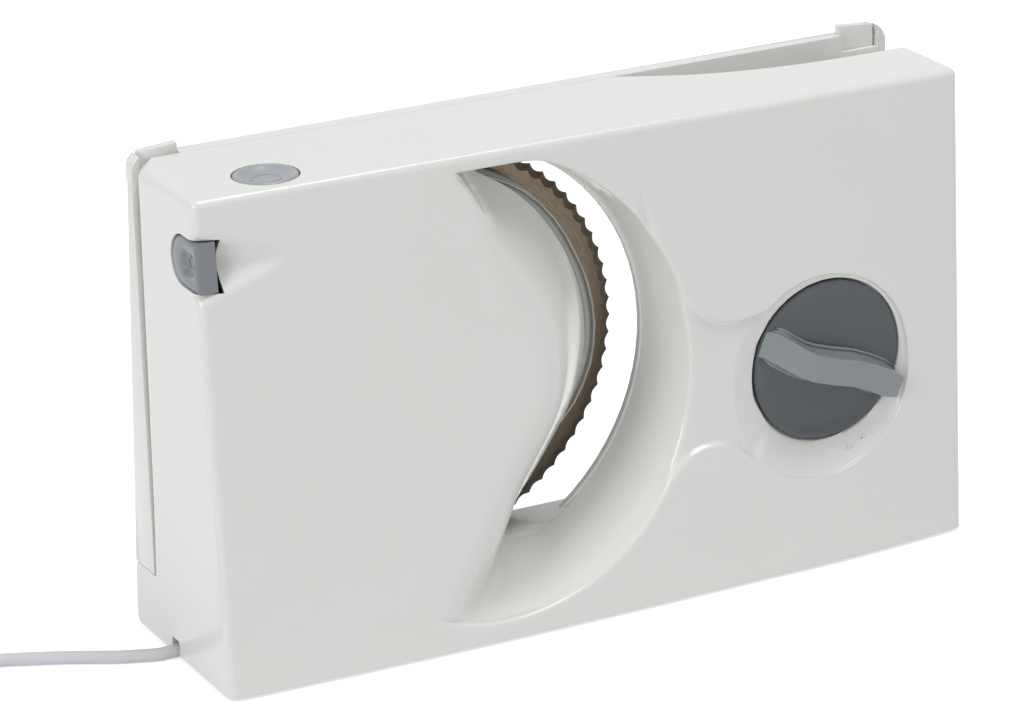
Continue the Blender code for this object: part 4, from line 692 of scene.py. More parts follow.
def columns(which):
    """The inner or outer blocks of all profiles as columns of design points."""
    grid = []
    for turn, *blocks in profiles:
        grid.append([(BLADE_X + r * math.cos(turn), y, BLADE_Z + r * math.sin(turn)) for r, y in blocks[which]])
    return grid


ring_grid(columns(0))
exit_outer = columns(1)
ring_grid(exit_outer)
exit_ring = [(column[-1][0], column[-1][2]) for column in exit_outer]
print("exit quads:", len(shell.faces))

# %% [markdown]
# The dish round the knob is an oblique cone: gentle towards the exit, steep at the right end, so the fingers can
# grip the knob from the left. Its rim is taken from the picture at seventeen angles.

# %% Dish mesh
RIM_ANGLES = (-180, -159, -144, -135, -120, -106, -82, -53, -21, -1, 30, 63, 89, 112, 137, 151, 168, 180)
RIM_RADII = (44.5, 46.2, 48.3, 49.0, 48.6, 47.5, 45.0, 42.0, 38.2, 36.6, 36.0, 36.0, 36.6, 37.8, 39.6, 42.0, 43.9, 44.5)
DISH_TURNS, DISH_ROWS, POCKET = 220, 48, 34.2
HUB, HUB_BACK = 16.1, 17.0                  # radius and depth of the pocket's floor at the knob's hub


def dish_profile(turn):
    """Points (radius, depth) of the dish from the hub to the face round it, at one angle about the knob's axis."""
    c, s = math.cos(turn), math.sin(turn)
    rim = float(through(list(zip(RIM_ANGLES, RIM_RADII)))(math.degrees(turn))[0])
    rim_depth = float(face(KNOB_X + rim * c, KNOB_Z + rim * s))
    spots = np.linspace(rim, rim + 4.0, 12)[1:]
    border = np.column_stack([spots, face(KNOB_X + spots * c, KNOB_Z + spots * s)])
    step = 0.9 * (1 - float(ease((abs(math.degrees(turn)) - 95) / 50)))
    slope = (KNOB_FACE - rim_depth) / (rim - POCKET)
    points = np.vstack([[(HUB, HUB_BACK), (POCKET, HUB_BACK), (POCKET, KNOB_FACE),
                         (rim - 0.6, rim_depth + 0.6 * slope + step), (rim, rim_depth)], border])
    whole, runs = even(points)
    corner = runs[-1] - 4.0
    soft, softer = averaged(whole, 0.25), averaged(whole, 0.35)
    share = ease((runs - (corner - 3)) / 2)[:, None]
    whole = soft * (1 - share) + softer * share
    return take(whole, runs, rows(runs[-1], corner, DISH_ROWS, 5.0))


dish = []
for turn in round_turn(DISH_TURNS):
    signed = turn if turn <= math.pi else turn - 2 * math.pi
    dish.append([(KNOB_X + r * math.cos(turn), y, KNOB_Z + r * math.sin(turn)) for r, y in dish_profile(signed)])
ring_grid(dish)
dish_ring = [(column[-1][0], column[-1][2]) for column in dish]
print("with dish:", len(shell.faces))

# %% [markdown]
# The rest of the shell is four sheets: front, left end, right end and top. Each is a lattice of points in its own
# plane, denser where the form turns, triangulated round the openings. A sharp box comes first.
# Then every point near an edge is pushed onto a ball of 3 mm that rolls along inside that edge, which rounds edges
# and corners alike. Towards the back the ball grows to 6.5 mm, as the moulding does.

# %% Rolling ball
BALL = 3.0
STEPS = (0, 1.0, 1.76, 2.4, 3.0)           # distances from an edge that give even steps round the ball
CHEEK = 25.4
HOLE_HALF, BUTTON_WIDE = 10.2, 10.5
BUTTON_LOW, BUTTON_HIGH = SIDE_BUTTON_Z - HOLE_HALF, SIDE_BUTTON_Z + HOLE_HALF
LEFT_BACK, TOP_BACK, RIGHT_BACK = 66, 76.5, 53.0        # depths of the back edge: low at the left, at the top, right
NARROWS_FROM, EDGE_TURN = 208, 6.0                      # where the top starts to narrow; radius of the left back edge


def ball_at(depth):
    """Radius of the rolling ball at a depth behind the face."""
    return BALL + 3.5 * ease(depth / 52)


def back_rim(z):
    """How far back the left end reaches at a height."""
    return LEFT_BACK + (TOP_BACK - LEFT_BACK) * np.clip((z - CHEEK) / (HEIGHT - CHEEK), 0, 1)


def narrow_back(x):
    """How far back the top reaches: it narrows towards the right end."""
    share = np.clip((x - NARROWS_FROM) / (LENGTH - NARROWS_FROM), 0, 1)
    return RIGHT_BACK + (TOP_BACK - RIGHT_BACK) * (1 - share) ** 3


def rounded(x, depth, z):
    """A point of the sharp box, depth behind the face, moved onto the rolling ball."""
    reach = ball_at(depth)
    near = np.array([np.clip(x, reach, LENGTH - reach), np.maximum(depth, BALL), np.minimum(z, HEIGHT - reach)])
    away = np.array([x, depth, z]) - near
    length = np.sqrt((away ** 2).sum(axis=0))
    radius = np.where(depth < BALL, BALL, reach)
    scale = np.where(length > 1e-6, radius / np.maximum(length, 1e-6), 0)
    return near + away * scale


def shell_point(x, y, z):
    """A point of the sharp box as a point of the finished shell."""
    x, y, z = (np.asarray(value, float) for value in (x, y, z))
    px, depth, pz = rounded(x, y - face(x, z), z)
    share = np.clip((z - CHEEK) / (HEIGHT - CHEEK), 0, 1)
    turn = EDGE_TURN * np.sqrt(share) + 1e-6
    left = np.clip(turn - (back_rim(z) - y), 0, turn) * (z > CHEEK + 0.01)
    px = px + (turn - np.sqrt(turn ** 2 - left ** 2)) * np.clip(1 - px / 9, 0, 1)
    return np.array([px, depth + face(px, pz), pz]).T


print("ball at the face and far behind it:", float(ball_at(0)), float(ball_at(60)), "mm")

# %% Lattices
def spaced(*stretches):
    """Numbers from stretches of (start, end, step), each once."""
    values = []
    for low, high, step in stretches:
        count = max(int(round((high - low) / step)), 1)
        values += list(np.linspace(low, high, count + 1))
    return np.array(sorted(set(round(v, 4) for v in values)))


x_edge = spaced((3, 10.5, 1.5), (10.5, 39, 1.6), (39, 185, 5), (185, 252, 1.6), (252, LENGTH - 3, 5))
x_edge = np.array(sorted(set(x_edge) | set(STEPS) | {LENGTH - t for t in STEPS}))
z_edge = spaced((0, CHEEK, 5), (CHEEK, 40, 4), (40, 150, 2), (150, BUTTON_LOW, 1.6), (BUTTON_LOW, BUTTON_HIGH, 1.6),
                (BUTTON_HIGH, 184, 1.7), (184, HEIGHT - 3, 2.5))
z_edge = np.array(sorted(set(z_edge) | {CHEEK + 0.3} | {HEIGHT - t for t in STEPS}))
print("lattice:", len(x_edge), "by", len(z_edge))


def within(points, ring):
    """Which plane points lie inside a closed ring."""
    points, ring = np.asarray(points, float), np.asarray(ring, float)
    inside = np.zeros(len(points), bool)
    for a, b in zip(ring, np.roll(ring, -1, axis=0)):
        crosses = (a[1] > points[:, 1]) != (b[1] > points[:, 1])
        if crosses.any():
            at_x = a[0] + (points[:, 1] - a[1]) * (b[0] - a[0]) / (b[1] - a[1] + 1e-12)
            inside ^= crosses & (points[:, 0] < at_x)
    return inside


def clear_of(points, ring, distance):
    """Which points are further from every ring point than a distance."""
    points, ring = np.asarray(points, float), np.asarray(ring, float)
    least = np.full(len(points), 1e9)
    for spot in ring:
        least = np.minimum(least, np.hypot(points[:, 0] - spot[0], points[:, 1] - spot[1]))
    return least > distance


def lined(lattice, *lines, closed=True):
    """The points of a lattice and of some lines, and the edges that keep the lines in the triangles."""
    points, edges = [tuple(p) for p in lattice], []
    for line in lines:
        first, count = len(points), len(line)
        points += [tuple(p) for p in line]
        edges += [(first + k, first + (k + 1) % count) for k in range(count if closed else count - 1)]
    return points, edges


def sheet(points, edges, hole_test, surface, least_area=1e-4):
    """Triangles over plane points, left out where the hole test says so, added to the shell on a surface."""
    flat, _, faces, *_ = delaunay_2d_cdt([Vector(p) for p in points], edges, [], 0, 1e-4)
    flat = np.array([tuple(p) for p in flat])
    faces = np.array([list(f) for f in faces])
    made = [shell.verts.new(tuple(p)) for p in surface(flat[:, 0], flat[:, 1])]
    areas = np.abs(np.cross(flat[faces[:, 1]] - flat[faces[:, 0]], flat[faces[:, 2]] - flat[faces[:, 0]]))
    kept = ~hole_test(flat[faces].mean(axis=1)) & (areas > least_area)
    for corners in faces[kept]:
        shell.faces.new([made[k] for k in corners])
    for vert in made:
        if not vert.link_faces:
            shell.verts.remove(vert)


# %% [markdown]
# The front sheet fills what lies between exit, dish and edges. The neck's two edges are ramps only 2 mm wide, about
# one step of the lattice, so rows of points run along them. Without these rows the light breaks up on the ramps.

# %% Front sheet
ACROSS_RAMP = (-0.25, 0, 0.2, 0.4, 0.6, 0.8, 1, 1.25)


def neck_rows(curve, side):
    """Rows of points along an edge of the neck and across its ramp; side is -1 where the neck lies below the edge."""
    xs = np.linspace(188.5, 247, 400)
    line, _ = even(np.column_stack([xs, curve(xs)[0]]), 0.9)
    slope = curve(line[:, 0])[1]
    across = side * np.column_stack([-slope, np.ones(len(slope))]) / np.sqrt(1 + slope ** 2)[:, None]
    return np.vstack([line + across * share * NECK_RAMP for share in ACROSS_RAMP])


lattice = np.array([(x, z) for x in x_edge for z in z_edge])
along_neck = np.vstack([neck_rows(NECK_TOP, -1), neck_rows(NECK_LOW, 1)])
lattice = np.vstack([lattice[clear_of(lattice, along_neck, 0.7)], along_neck])
button_box = (lattice[:, 0] < BUTTON_WIDE - 0.01) & (np.abs(lattice[:, 1] - SIDE_BUTTON_Z) < 10.19)
keep = (~within(lattice, exit_ring) & clear_of(lattice, exit_ring, 0.9) & ~within(lattice, dish_ring)
        & clear_of(lattice, dish_ring, 0.8) & ~button_box)


def front_hole(middles):
    """Which points of the face lie in the exit, the dish or the hole of the on/off button."""
    in_button = (middles[:, 0] < BUTTON_WIDE) & (np.abs(middles[:, 1] - SIDE_BUTTON_Z) < HOLE_HALF)
    return within(middles, exit_ring) | within(middles, dish_ring) | in_button


sheet(*lined(lattice[keep], exit_ring, dish_ring), front_hole, lambda x, z: shell_point(x, face(x, z), z), 1e-5)
print("with front:", len(shell.faces))

# %% [markdown]
# Each end is a sheet from the face to the back edge. Low down it runs on to the back of the cheek, which carries the
# table's hinge. The left end has the hole of the on/off button and the slot that the lead leaves through.

# %% Left end with its cheek
def end_lattice(x, back_at, rear_steps):
    """Points of an end from the face to its back edge, in rows that follow both."""
    lattice = []
    for z in z_edge:
        low = z <= CHEEK
        front, back = float(face(x, z)), DEPTH if low else float(back_at(z))
        steps = (2.5, 1.25, 0.5, 0) if low else rear_steps
        middle = np.linspace(front + 3, float(back_at(z)) - 6, 14)[1:]
        extra = np.linspace(float(back_at(z)) - 3, back - 4, 5) if low else []
        for y in [front + t for t in STEPS] + list(middle) + list(extra) + [back - e for e in steps]:
            reach = float(ball_at(y - front))
            top = HEIGHT - z
            if top > 3.0001 and z > HEIGHT - reach - 0.8:
                continue
            lattice.append((y, HEIGHT - top * reach / BALL if top <= 3.0001 else z))
    return lattice


def behind(middles, back_at):
    """Which plane points lie behind the back edge of an end."""
    return middles[:, 0] > np.where(middles[:, 1] < CHEEK, DEPTH, back_at(middles[:, 1])) + 0.02


CORNER = 2.5                                # radius of the cheek's two back corners


def end_point(x):
    """The surface of an end, with the cheek's two back corners rounded."""
    def surface(y, z):
        y, z = np.array(y, float), np.array(z, float)
        low = z <= CHEEK + 0.01
        dy, dz = y - (DEPTH - CORNER), z - np.clip(z, CORNER, CHEEK - CORNER)
        length = np.maximum(np.hypot(dy, dz), 1e-9)
        turned = low & (dy > 0)
        scale = np.where(turned & (np.abs(dz) > 0), np.minimum(1, CORNER / length), 1.0)
        y, z = np.where(turned, DEPTH - CORNER + dy * scale, y), np.where(turned, z - dz + dz * scale, z)
        return shell_point(np.full_like(y, x), y, z)
    return surface


BUTTON_BACK = 43.4
button_middle = BUTTON_BACK - SIDE_BUTTON_HALF
arc = [(button_middle + HOLE_HALF * math.cos(a), SIDE_BUTTON_Z + HOLE_HALF * math.sin(a))
       for a in np.linspace(-math.pi / 2, math.pi / 2, 33)]
lower = [(y, BUTTON_LOW) for y in np.linspace(float(face(0, BUTTON_LOW)), button_middle, 8)[:-1]]
upper = [(y, BUTTON_HIGH) for y in np.linspace(button_middle, float(face(0, BUTTON_HIGH)), 8)[1:]]
button_ring = lower + arc + upper
button_hole = button_ring + [(button_ring[-1][0] - 20, BUTTON_HIGH), (button_ring[0][0] - 20, BUTTON_LOW)]
CORD_SLOT = ((45.5, 0.0), (45.5, 5.0), (46.4, 6.0), (51.2, 6.0), (52.1, 5.0), (52.1, 0.0))

lattice = np.array(end_lattice(0.0, back_rim, (4.4, 3, 1.8, 0.8, 0)))
near_front = lattice[:, 0] < face(0, lattice[:, 1]) + 0.01
in_hole = within(lattice, button_hole) | (~clear_of(lattice, button_ring, 0.7) & ~near_front)
in_hole |= near_front & (np.abs(lattice[:, 1] - SIDE_BUTTON_Z) < 10.19)
in_hole |= (lattice[:, 0] > 45) & (lattice[:, 0] < 52.6) & (lattice[:, 1] < 6.5)
sheet(*lined(lattice[~in_hole], button_ring, CORD_SLOT, closed=False),
      lambda m: within(m, button_hole) | within(m, CORD_SLOT) | behind(m, back_rim) | (m[:, 0] < face(0, m[:, 1])),
      end_point(0.0))
print("with left end:", len(shell.faces))


# %% Right end
def right_rim(z):
    """How far back the right end reaches: the same at each height."""
    return RIGHT_BACK + 0 * z


sheet(end_lattice(LENGTH, right_rim, (0,)), [],
      lambda m: behind(m, right_rim) | (m[:, 0] < face(LENGTH, m[:, 1])), end_point(LENGTH))
print("with right end:", len(shell.faces))

# %% [markdown]
# The top is the last sheet. Its back edge swings forward towards the right end, as seen from above, and it has the
# oval hole of the safety button.

# %% Top with the hole of the safety button
TOP_HOLE = (13.5, 11.8)                     # half the hole's length and half its width
oval = [(TOP_BUTTON[0] + TOP_HOLE[0] * math.cos(a), TOP_BUTTON[1] + TOP_HOLE[1] * math.sin(a))
        for a in np.linspace(0, 2 * math.pi, 65)[:-1]]
lattice = []
for x in x_edge:
    side_gap = min(x, LENGTH - x)
    front, back = float(face(x, HEIGHT)), float(min(narrow_back(x), TOP_BACK))
    for y in [front + t for t in STEPS] + list(np.linspace(front + 3, back, 18)[1:]):
        reach = float(ball_at(y - front))
        if side_gap > 3.0001 and side_gap < reach + 0.8:
            continue
        shifted = x if side_gap > 3.0001 else (x * reach / BALL if x < 100 else LENGTH - (LENGTH - x) * reach / BALL)
        lattice.append((shifted, y))
lattice = np.array(lattice)
lattice = lattice[~within(lattice, oval) & clear_of(lattice, oval, 0.8)]


def top_hole(middles):
    """Which points lie in the button's hole, behind the back edge or before the face."""
    x, y = middles.T
    return within(middles, oval) | (y > np.minimum(narrow_back(x), TOP_BACK) + 0.4) | (y < face(x, HEIGHT))


sheet(*lined(lattice, oval), top_hole, lambda x, y: shell_point(x, y, np.full_like(x, HEIGHT)))
print("with top:", len(shell.faces))

# %% [markdown]
# The rings and sheets meet point on point, so merging doubles joins them. Only then do the normals turn outwards and
# the skin gets its wall of 2.3 mm, on the inside.

# %% Shell joined, thickened and finished
WALL = 2.3
bmesh.ops.remove_doubles(shell, verts=shell.verts, dist=0.06)
flat_faces = [f for f in shell.faces if f.calc_area() < 1e-5]
bmesh.ops.delete(shell, geom=flat_faces, context="FACES_ONLY")
bmesh.ops.recalc_face_normals(shell, faces=shell.faces)
probe = min(shell.faces, key=lambda f: (f.calc_center_median() - Vector((150, 0, 20))).length)
if probe.normal.y > 0:
    bmesh.ops.reverse_faces(shell, faces=shell.faces)
open_edges = [e for e in shell.edges if len(e.link_faces) != 2]
print("shell faces", len(shell.faces), "open edges", len(open_edges),
      "over-shared", sum(len(e.link_faces) > 2 for e in open_edges))
for vert in shell.verts:
    vert.co = at(*vert.co)
data = bpy.data.meshes.new("shell")
shell.to_mesh(data)
shell.free()
housing = modify(link("shell", data), "SOLIDIFY", thickness=WALL * MM, offset=-1)
stand_in(smooth(housing, 40), WHITE, "housing", "white_plastic", "front_housing")

# %% [markdown]
# Two small rings on the dish are the marks of the thickness scale. They are moulded with the dish, so each lies flat
# on its slope: the ring is turned to the direction in which the dish faces there.

# %% Marks of the thickness scale
MARKS = ((278.9, 45.2), (285.9, 47.3))


def dish_depth(x, z):
    """Depth of the dish at a design point."""
    turn, reach = math.atan2(z - KNOB_Z, x - KNOB_X), math.hypot(x - KNOB_X, z - KNOB_Z)
    profile = dish_profile(turn)
    return float(np.interp(reach, profile[20:, 0], profile[20:, 1]))


for number, (x, z) in enumerate(MARKS, 1):
    depth = dish_depth(x, z)
    facing = Vector((dish_depth(x + 0.5, z) - dish_depth(x - 0.5, z), -1.0,
                     dish_depth(x, z + 0.5) - dish_depth(x, z - 0.5)))
    mark = start("torus", f"scale_mark_{number}", major_radius=1.05 * MM, minor_radius=0.24 * MM, major_segments=40,
                 minor_segments=10, location=at(x, depth, z), rotation=facing.to_track_quat("Z", "Y").to_euler())
    stand_in(smooth(settle(mark), 60), WHITE, "housing", "white_plastic", "front_housing")
    print(mark.name, "at depth", round(depth, 2))

# %% [markdown]
# ## Base tray
# Behind the front face the base is a low tray: a deck under the blade, a wall that closes it, and a lower floor
# between the two cheeks, where the table lies when it is folded up.

# %% Base tray
TRAY = (("deck_wall", (7.8, 55.6, 1.8), (325.2, 57.9, 23.2), 0.4),
        ("recess_floor", (7.8, 57.8, 0.1), (325.2, 83.6, 2.0), 0.4),
        ("cheek_wall_left", (5.6, 57.0, 0.1), (8.0, 83.6, 25.2), 0.7),
        ("cheek_wall_right", (325.0, 57.0, 0.1), (327.4, 83.6, 25.2), 0.7),
        ("cheek_top_left", (0.3, 57.0, 23.0), (8.0, 83.6, 25.3), 0.7),
        ("cheek_top_right", (325.0, 53.0, 23.0), (332.7, 83.6, 25.3), 0.7),
        ("cheek_back_left", (0.3, 81.6, 0.2), (8.0, 83.9, 25.2), 0.7),
        ("cheek_back_right", (325.0, 81.6, 0.2), (332.7, 83.9, 25.2), 0.7))
for name, low, high, rounding in TRAY:
    stand_in(block(name, low, high, rounding, 2), INNER_WHITE, "housing", "white_plastic", "front_housing")
print("pieces of the tray:", len(TRAY))

# %% Deck with its sloping front edge
DECK = ((36.6, 21.9), (37.6, 22.8), (41.4, 24.75), (42.2, 25.0), (57.5, 25.0), (58.0, 24.5), (58.0, 22.8), (42.0, 22.6),
        (36.6, 20.0))
deck = smooth(skin("deck", [[at(x, y, z) for y, z in DECK] for x in (2.4, 90, 150, 200, 330.6)]), 30)
stand_in(deck, WHITE, "housing", "white_plastic", "front_housing")
print("deck faces:", len(deck.data.polygons))

# %% [markdown]
# ## Blade
# The blade is a disc with 72 wave teeth. A wave blade is ground on one side only, so its rim has a narrow bevel that
# catches light. The disc starts as a circle, and each edge point is moved to the wave's radius.

# %% Blade
TEETH, WAVE_STEPS, WAVE_HIGH = 72, 10, 1.4
BLADE_FRONT_Y, BLADE_BACK_Y = 54.4, 55.6


def blade_ring(radius_at, y):
    """A ring of the blade: its radius may change along each tooth."""
    count = TEETH * WAVE_STEPS
    return [at(BLADE_X + radius_at(k / WAVE_STEPS) * math.cos(2 * math.pi * k / count), y,
               BLADE_Z + radius_at(k / WAVE_STEPS) * math.sin(2 * math.pi * k / count)) for k in range(count)]


def wave(u):
    """Radius of the toothed edge, u teeth round."""
    return BLADE_RADIUS - WAVE_HIGH * abs(math.sin(math.pi * (u % 1.0)))


rings = [blade_ring(lambda u: 10.0, BLADE_BACK_Y), blade_ring(wave, BLADE_BACK_Y),
         blade_ring(lambda u: wave(u) - 0.03, BLADE_BACK_Y - 0.12), blade_ring(lambda u: wave(u) - 3.0, BLADE_FRONT_Y),
         blade_ring(lambda u: 78.0, BLADE_FRONT_Y), blade_ring(lambda u: 64.0, BLADE_FRONT_Y + 0.35),
         blade_ring(lambda u: 40.0, BLADE_FRONT_Y + 0.25), blade_ring(lambda u: 36.0, BLADE_FRONT_Y),
         blade_ring(lambda u: 10.0, BLADE_FRONT_Y)]
rings.append(rings[0])
blade = skin("blade_ground", rings, closed=False)
modify(blade, "WELD", merge_threshold=0.00001)
stand_in(smooth(blade, 12), BLADE_STEEL, "blade_wheel", "blade_steel", "blade")
print("blade faces", len(blade.data.polygons))

# %% [markdown]
# ## Knob
# The knob is a thin disc with a raised rim and one bold S-shaped grip across it. The grip is thick and low at the
# left, where it grows out of the rim, and sharp and high on the right. It is drawn as cross-sections along a line.

# %% Knob disc
KNOB_PROFILE = ((8.0, 15.4), (18.0, 15.15), (25.0, 14.75), (29.6, 14.3), (31.4, 13.6), (32.4, 13.4),
                (33.2, 13.7), (33.4, 14.2), (33.4, 16.2), (33.1, 16.6), (16.0, 16.6))
rings = [[at(KNOB_X + radius * math.cos(a), y, KNOB_Z + radius * math.sin(a)) for a in round_turn(160)]
         for radius, y in KNOB_PROFILE]
knob = stand_in(smooth(skin("knob", rings), 35), KNOB_GREY, "knob", "dark_grey_plastic", "thickness_knob")
print("knob faces:", len(knob.data.polygons))

# %% Knob grip
GRIP_LINE = ((-0.97, 0.385), (-0.80, 0.335), (-0.66, 0.25), (-0.55, 0.17), (-0.40, 0.07), (-0.24, -0.003),
             (0.03, -0.09), (0.31, -0.165), (0.55, -0.27), (0.76, -0.383), (0.93, -0.455))
# Across the grip: place in half widths, and height as a share of the grip's own.
GRIP_SECTION = ((-1.12, 0.0), (-1.0, 0.1), (-0.95, 0.3), (-0.90, 0.65), (-0.86, 0.88), (-0.82, 0.96), (-0.74, 1.0),
                (-0.4, 0.985), (0, 0.975), (0.4, 0.985), (0.74, 1.0), (0.82, 0.96), (0.86, 0.88), (0.89, 0.6),
                (0.93, 0.3), (1.0, 0.1), (1.08, 0.05), (1.15, 0.12), (1.21, 0.11), (1.26, 0.0))
GRIP_HALF_WIDE, GRIP_BASE, GRIP_LIMIT = 6.5, 14.7, 32.8     # the left end stays inside the limit radius
line = np.array(GRIP_LINE) * KNOB_RADIUS
runs = np.concatenate(([0], np.cumsum(np.hypot(*np.diff(line, axis=0).T))))
rings = []
for share in np.linspace(0, 1, 60):
    spot = [np.interp(share * runs[-1], runs, line[:, k]) for k in (0, 1)]
    ahead = [np.interp(min(share + 0.03, 1) * runs[-1], runs, line[:, k]) for k in (0, 1)]
    back = [np.interp(max(share - 0.03, 0) * runs[-1], runs, line[:, k]) for k in (0, 1)]
    along = Vector((ahead[0] - back[0], 0, ahead[1] - back[1])).normalized()
    across = Vector((-along.z, 0, along.x))
    end = min(1.0, ((1 - share) / 0.015) ** 0.5 if share > 0.985 else 1.0)
    width = GRIP_HALF_WIDE * min(1.0, 0.86 + 1.2 * share, 0.76 + 2.6 * (1 - share)) * max(end, 0.7)
    top = 0.9 + 8.4 * float(ease(2.3 * share + 0.05))
    middle = Vector((KNOB_X + spot[0], 0, KNOB_Z + spot[1]))
    section = []
    for side_at, lift in GRIP_SECTION:
        point = middle + across * width * side_at
        reach = math.hypot(point.x - KNOB_X, point.z - KNOB_Z)
        if share < 0.3 and reach > GRIP_LIMIT:
            point.x = KNOB_X + (point.x - KNOB_X) * GRIP_LIMIT / reach
            point.z = KNOB_Z + (point.z - KNOB_Z) * GRIP_LIMIT / reach
        section.append(at(point.x, GRIP_BASE - (top + 0.4) * lift * max(end, 0.8), point.z))
    rings.append(section)
# The grip's lighter grey is painted light on the knob's plastic.
grip = stand_in(smooth(skin("knob_grip", rings), 50), GRIP_PAINTED_LIGHT, "knob", "dark_grey_plastic", "thickness_knob")
print("grip faces:", len(grip.data.polygons))

# %% [markdown]
# ## Buttons
# The on/off button wraps round the left front edge, and its side has a shallow dish for the thumb. The safety button
# on top is an oval with a soft dish. Both are lighter than the knob.

# %% Safety button
# Half length, half width and height of each ring, from the stem up over the rim and down into the dish.
SAFETY_RINGS = ((3.9, 3.9, 170.0), (3.9, 3.9, 188.9), (13, 11.3, 188.9), (13, 11.3, 191.6), (12.75, 11.05, 192.3),
                (12.1, 10.4, 192.8), (11.2, 9.5, 192.9), (10.5, 8.8, 192.6), (9.4, 7.7, 191.8), (7.6, 5.9, 191.1),
                (6.4, 4.7, 190.9), (6.2, 4.5, 191.2), (5.6, 3.9, 191.2), (5.4, 3.7, 190.8), (4.0, 2.3, 190.7),
                (2.4, 0.7, 190.7))
rings = [[at(TOP_BUTTON[0] + long * math.cos(a), TOP_BUTTON[1] + short * math.sin(a), z) for a in round_turn(96)]
         for long, short, z in SAFETY_RINGS]
safety = smooth(skin("safety_button_dished", rings), 50)
stand_in(safety, BUTTON_GREY, "safety", "light_grey_plastic", "safety_button")
print("safety button rings:", len(rings))

# %% On/off button
CENTRE_Y, DIMPLE_Y = 29.0, 29.4
EDGE_RINGS = ((8.2, 0.0), (1.5, 0.0), (0.75, 0.25), (0.3, 0.8), (0.15, 1.6))     # place and how far drawn in
DIMPLE_RINGS = ((0.15, 6.3), (0.25, 6.0), (0.8, 5.3), (1.5, 4.6), (1.95, 3.6), (2.1, 2.7), (1.7, 2.5), (1.65, 2.0),
                (2.1, 1.8), (2.15, 0.4))                                          # place and radius
outline = []
half = SIDE_BUTTON_HALF
for a in np.linspace(-math.pi / 2, math.pi / 2, 40):
    outline.append((BUTTON_BACK - half + half * math.cos(a), SIDE_BUTTON_Z + half * math.sin(a)))
for z in np.linspace(SIDE_BUTTON_Z + half, SIDE_BUTTON_Z - half, 24):
    outline.append((float(plain_front(0, z)) + 0.6, z))


def button_ring_at(x, shrink):
    """A ring of the button's edge, drawn in towards the button's middle."""
    ring = []
    for y, z in outline:
        dy, dz = y - CENTRE_Y, z - SIDE_BUTTON_Z
        scale = 1 - shrink / max(math.hypot(dy, dz), 1)
        ring.append(at(x, CENTRE_Y + dy * scale, SIDE_BUTTON_Z + dz * scale))
    return ring


def dimple_ring(x, radius):
    """A ring of the thumb dimple, each point in line with its point of the outline."""
    ring = []
    for y, z in outline:
        reach = math.hypot(y - DIMPLE_Y, z - SIDE_BUTTON_Z)
        ring.append(at(x, DIMPLE_Y + (y - DIMPLE_Y) * radius / reach,
                       SIDE_BUTTON_Z + (z - SIDE_BUTTON_Z) * radius / reach))
    return ring


rings = [button_ring_at(*ring) for ring in EDGE_RINGS] + [dimple_ring(*ring) for ring in DIMPLE_RINGS]
on_off = smooth(skin("on_off_button_dished", rings), 50)
# Its darker grey is painted shade on the light grey plastic of the buttons.
stand_in(on_off, SIDE_PAINTED_SHADE, "power_button", "light_grey_plastic", "on_off_button")
print("on/off button rings:", len(rings))

# %% [markdown]
# ## Plates and the table
# The other moulded pieces are plates and bars. A copy of each one's frame mesh is cleaned of its triangles, its
# edges get the small rounding that a moulding tool leaves, and the copy stands for the node.

# %% Rounded copies of frame pieces
def rounded_copy(node, body, material, slot, radius, segments=2, degrees=30):
    """A copy of a frame piece with its edges rounded, which stands for that piece."""
    source = bpy.data.objects[node]
    copy = source.copy()
    copy.data = source.data.copy()
    copy.name = copy.data.name = node + "_moulded"
    matrix = source.matrix_world.copy()
    copy.parent = None
    bpy.context.scene.collection.objects.link(copy)
    copy.matrix_world = matrix
    settle(copy)
    bpy.ops.object.mode_set(mode="EDIT")
    bpy.ops.mesh.select_all(action="SELECT")
    bpy.ops.mesh.remove_doubles(threshold=0.00002)
    bpy.ops.mesh.dissolve_limited(angle_limit=math.radians(2))
    bpy.ops.mesh.normals_make_consistent(inside=False)
    bpy.ops.object.mode_set(mode="OBJECT")
    modify(copy, "BEVEL", width=radius * MM, segments=segments, limit_method="ANGLE", angle_limit=math.radians(degrees),
           use_clamp_overlap=True)
    copy.data.materials.clear()
    return stand_in(smooth(copy, 35), material, body, slot, node)


for node, body, material, slot, radius in (
        ("table_frame", "table", WHITE, "white_plastic", 0.8),
        ("support_leg_left", "leg_left", WHITE, "white_plastic", 0.6),
        ("support_leg_right", "leg_right", WHITE, "white_plastic", 0.6),
        # The chassis plate is white plastic; its grey here is painted shade.
        ("chassis_plate", "housing", CHASSIS_PAINTED_SHADE, "white_plastic", 0.5),
        ("stop_plate", "stop", WHITE, "white_plastic", 0.4),
        ("carriage", "carrier", WHITE, "white_plastic", 0.5),
        ("pusher_plate", "pusher_flap", BUTTON_GREY, "light_grey_plastic", 0.5)):
    made = rounded_copy(node, body, material, slot, radius)
    print(made.name, len(made.data.polygons))

# %% [markdown]
# The outer top corners of the folded table are cut off in the picture. The points of the copies there are pushed in
# along a slope, and a small arched piece closes each corner of the table.

# %% Rounded outer corners of the table and its legs
TABLE_RIGHT, CORNER_REACH = 336.0, 7.8


def cut_corner(name, x, mirror, width):
    """Slopes the outer top corner of a moulded copy: points in the corner move in along the slope."""
    piece = bpy.data.objects[name]
    edge = at(x, 0, 0).x
    near = [v for v in piece.data.vertices if abs(v.co.x - edge) < 2.5 * MM]
    top = max(v.co.z for v in near)
    moved = 0
    for vert in piece.data.vertices:
        dx, dz = (vert.co.x - edge) / MM * mirror, (top - vert.co.z) / MM
        if -0.2 < dx < width and -0.1 < dz < width and dx + dz < width:
            push = (width - dx - dz) * 0.45 * MM
            vert.co.x += push * mirror
            vert.co.z -= push
            moved += 1
    return round(top / MM - ORIGIN.z, 2), moved


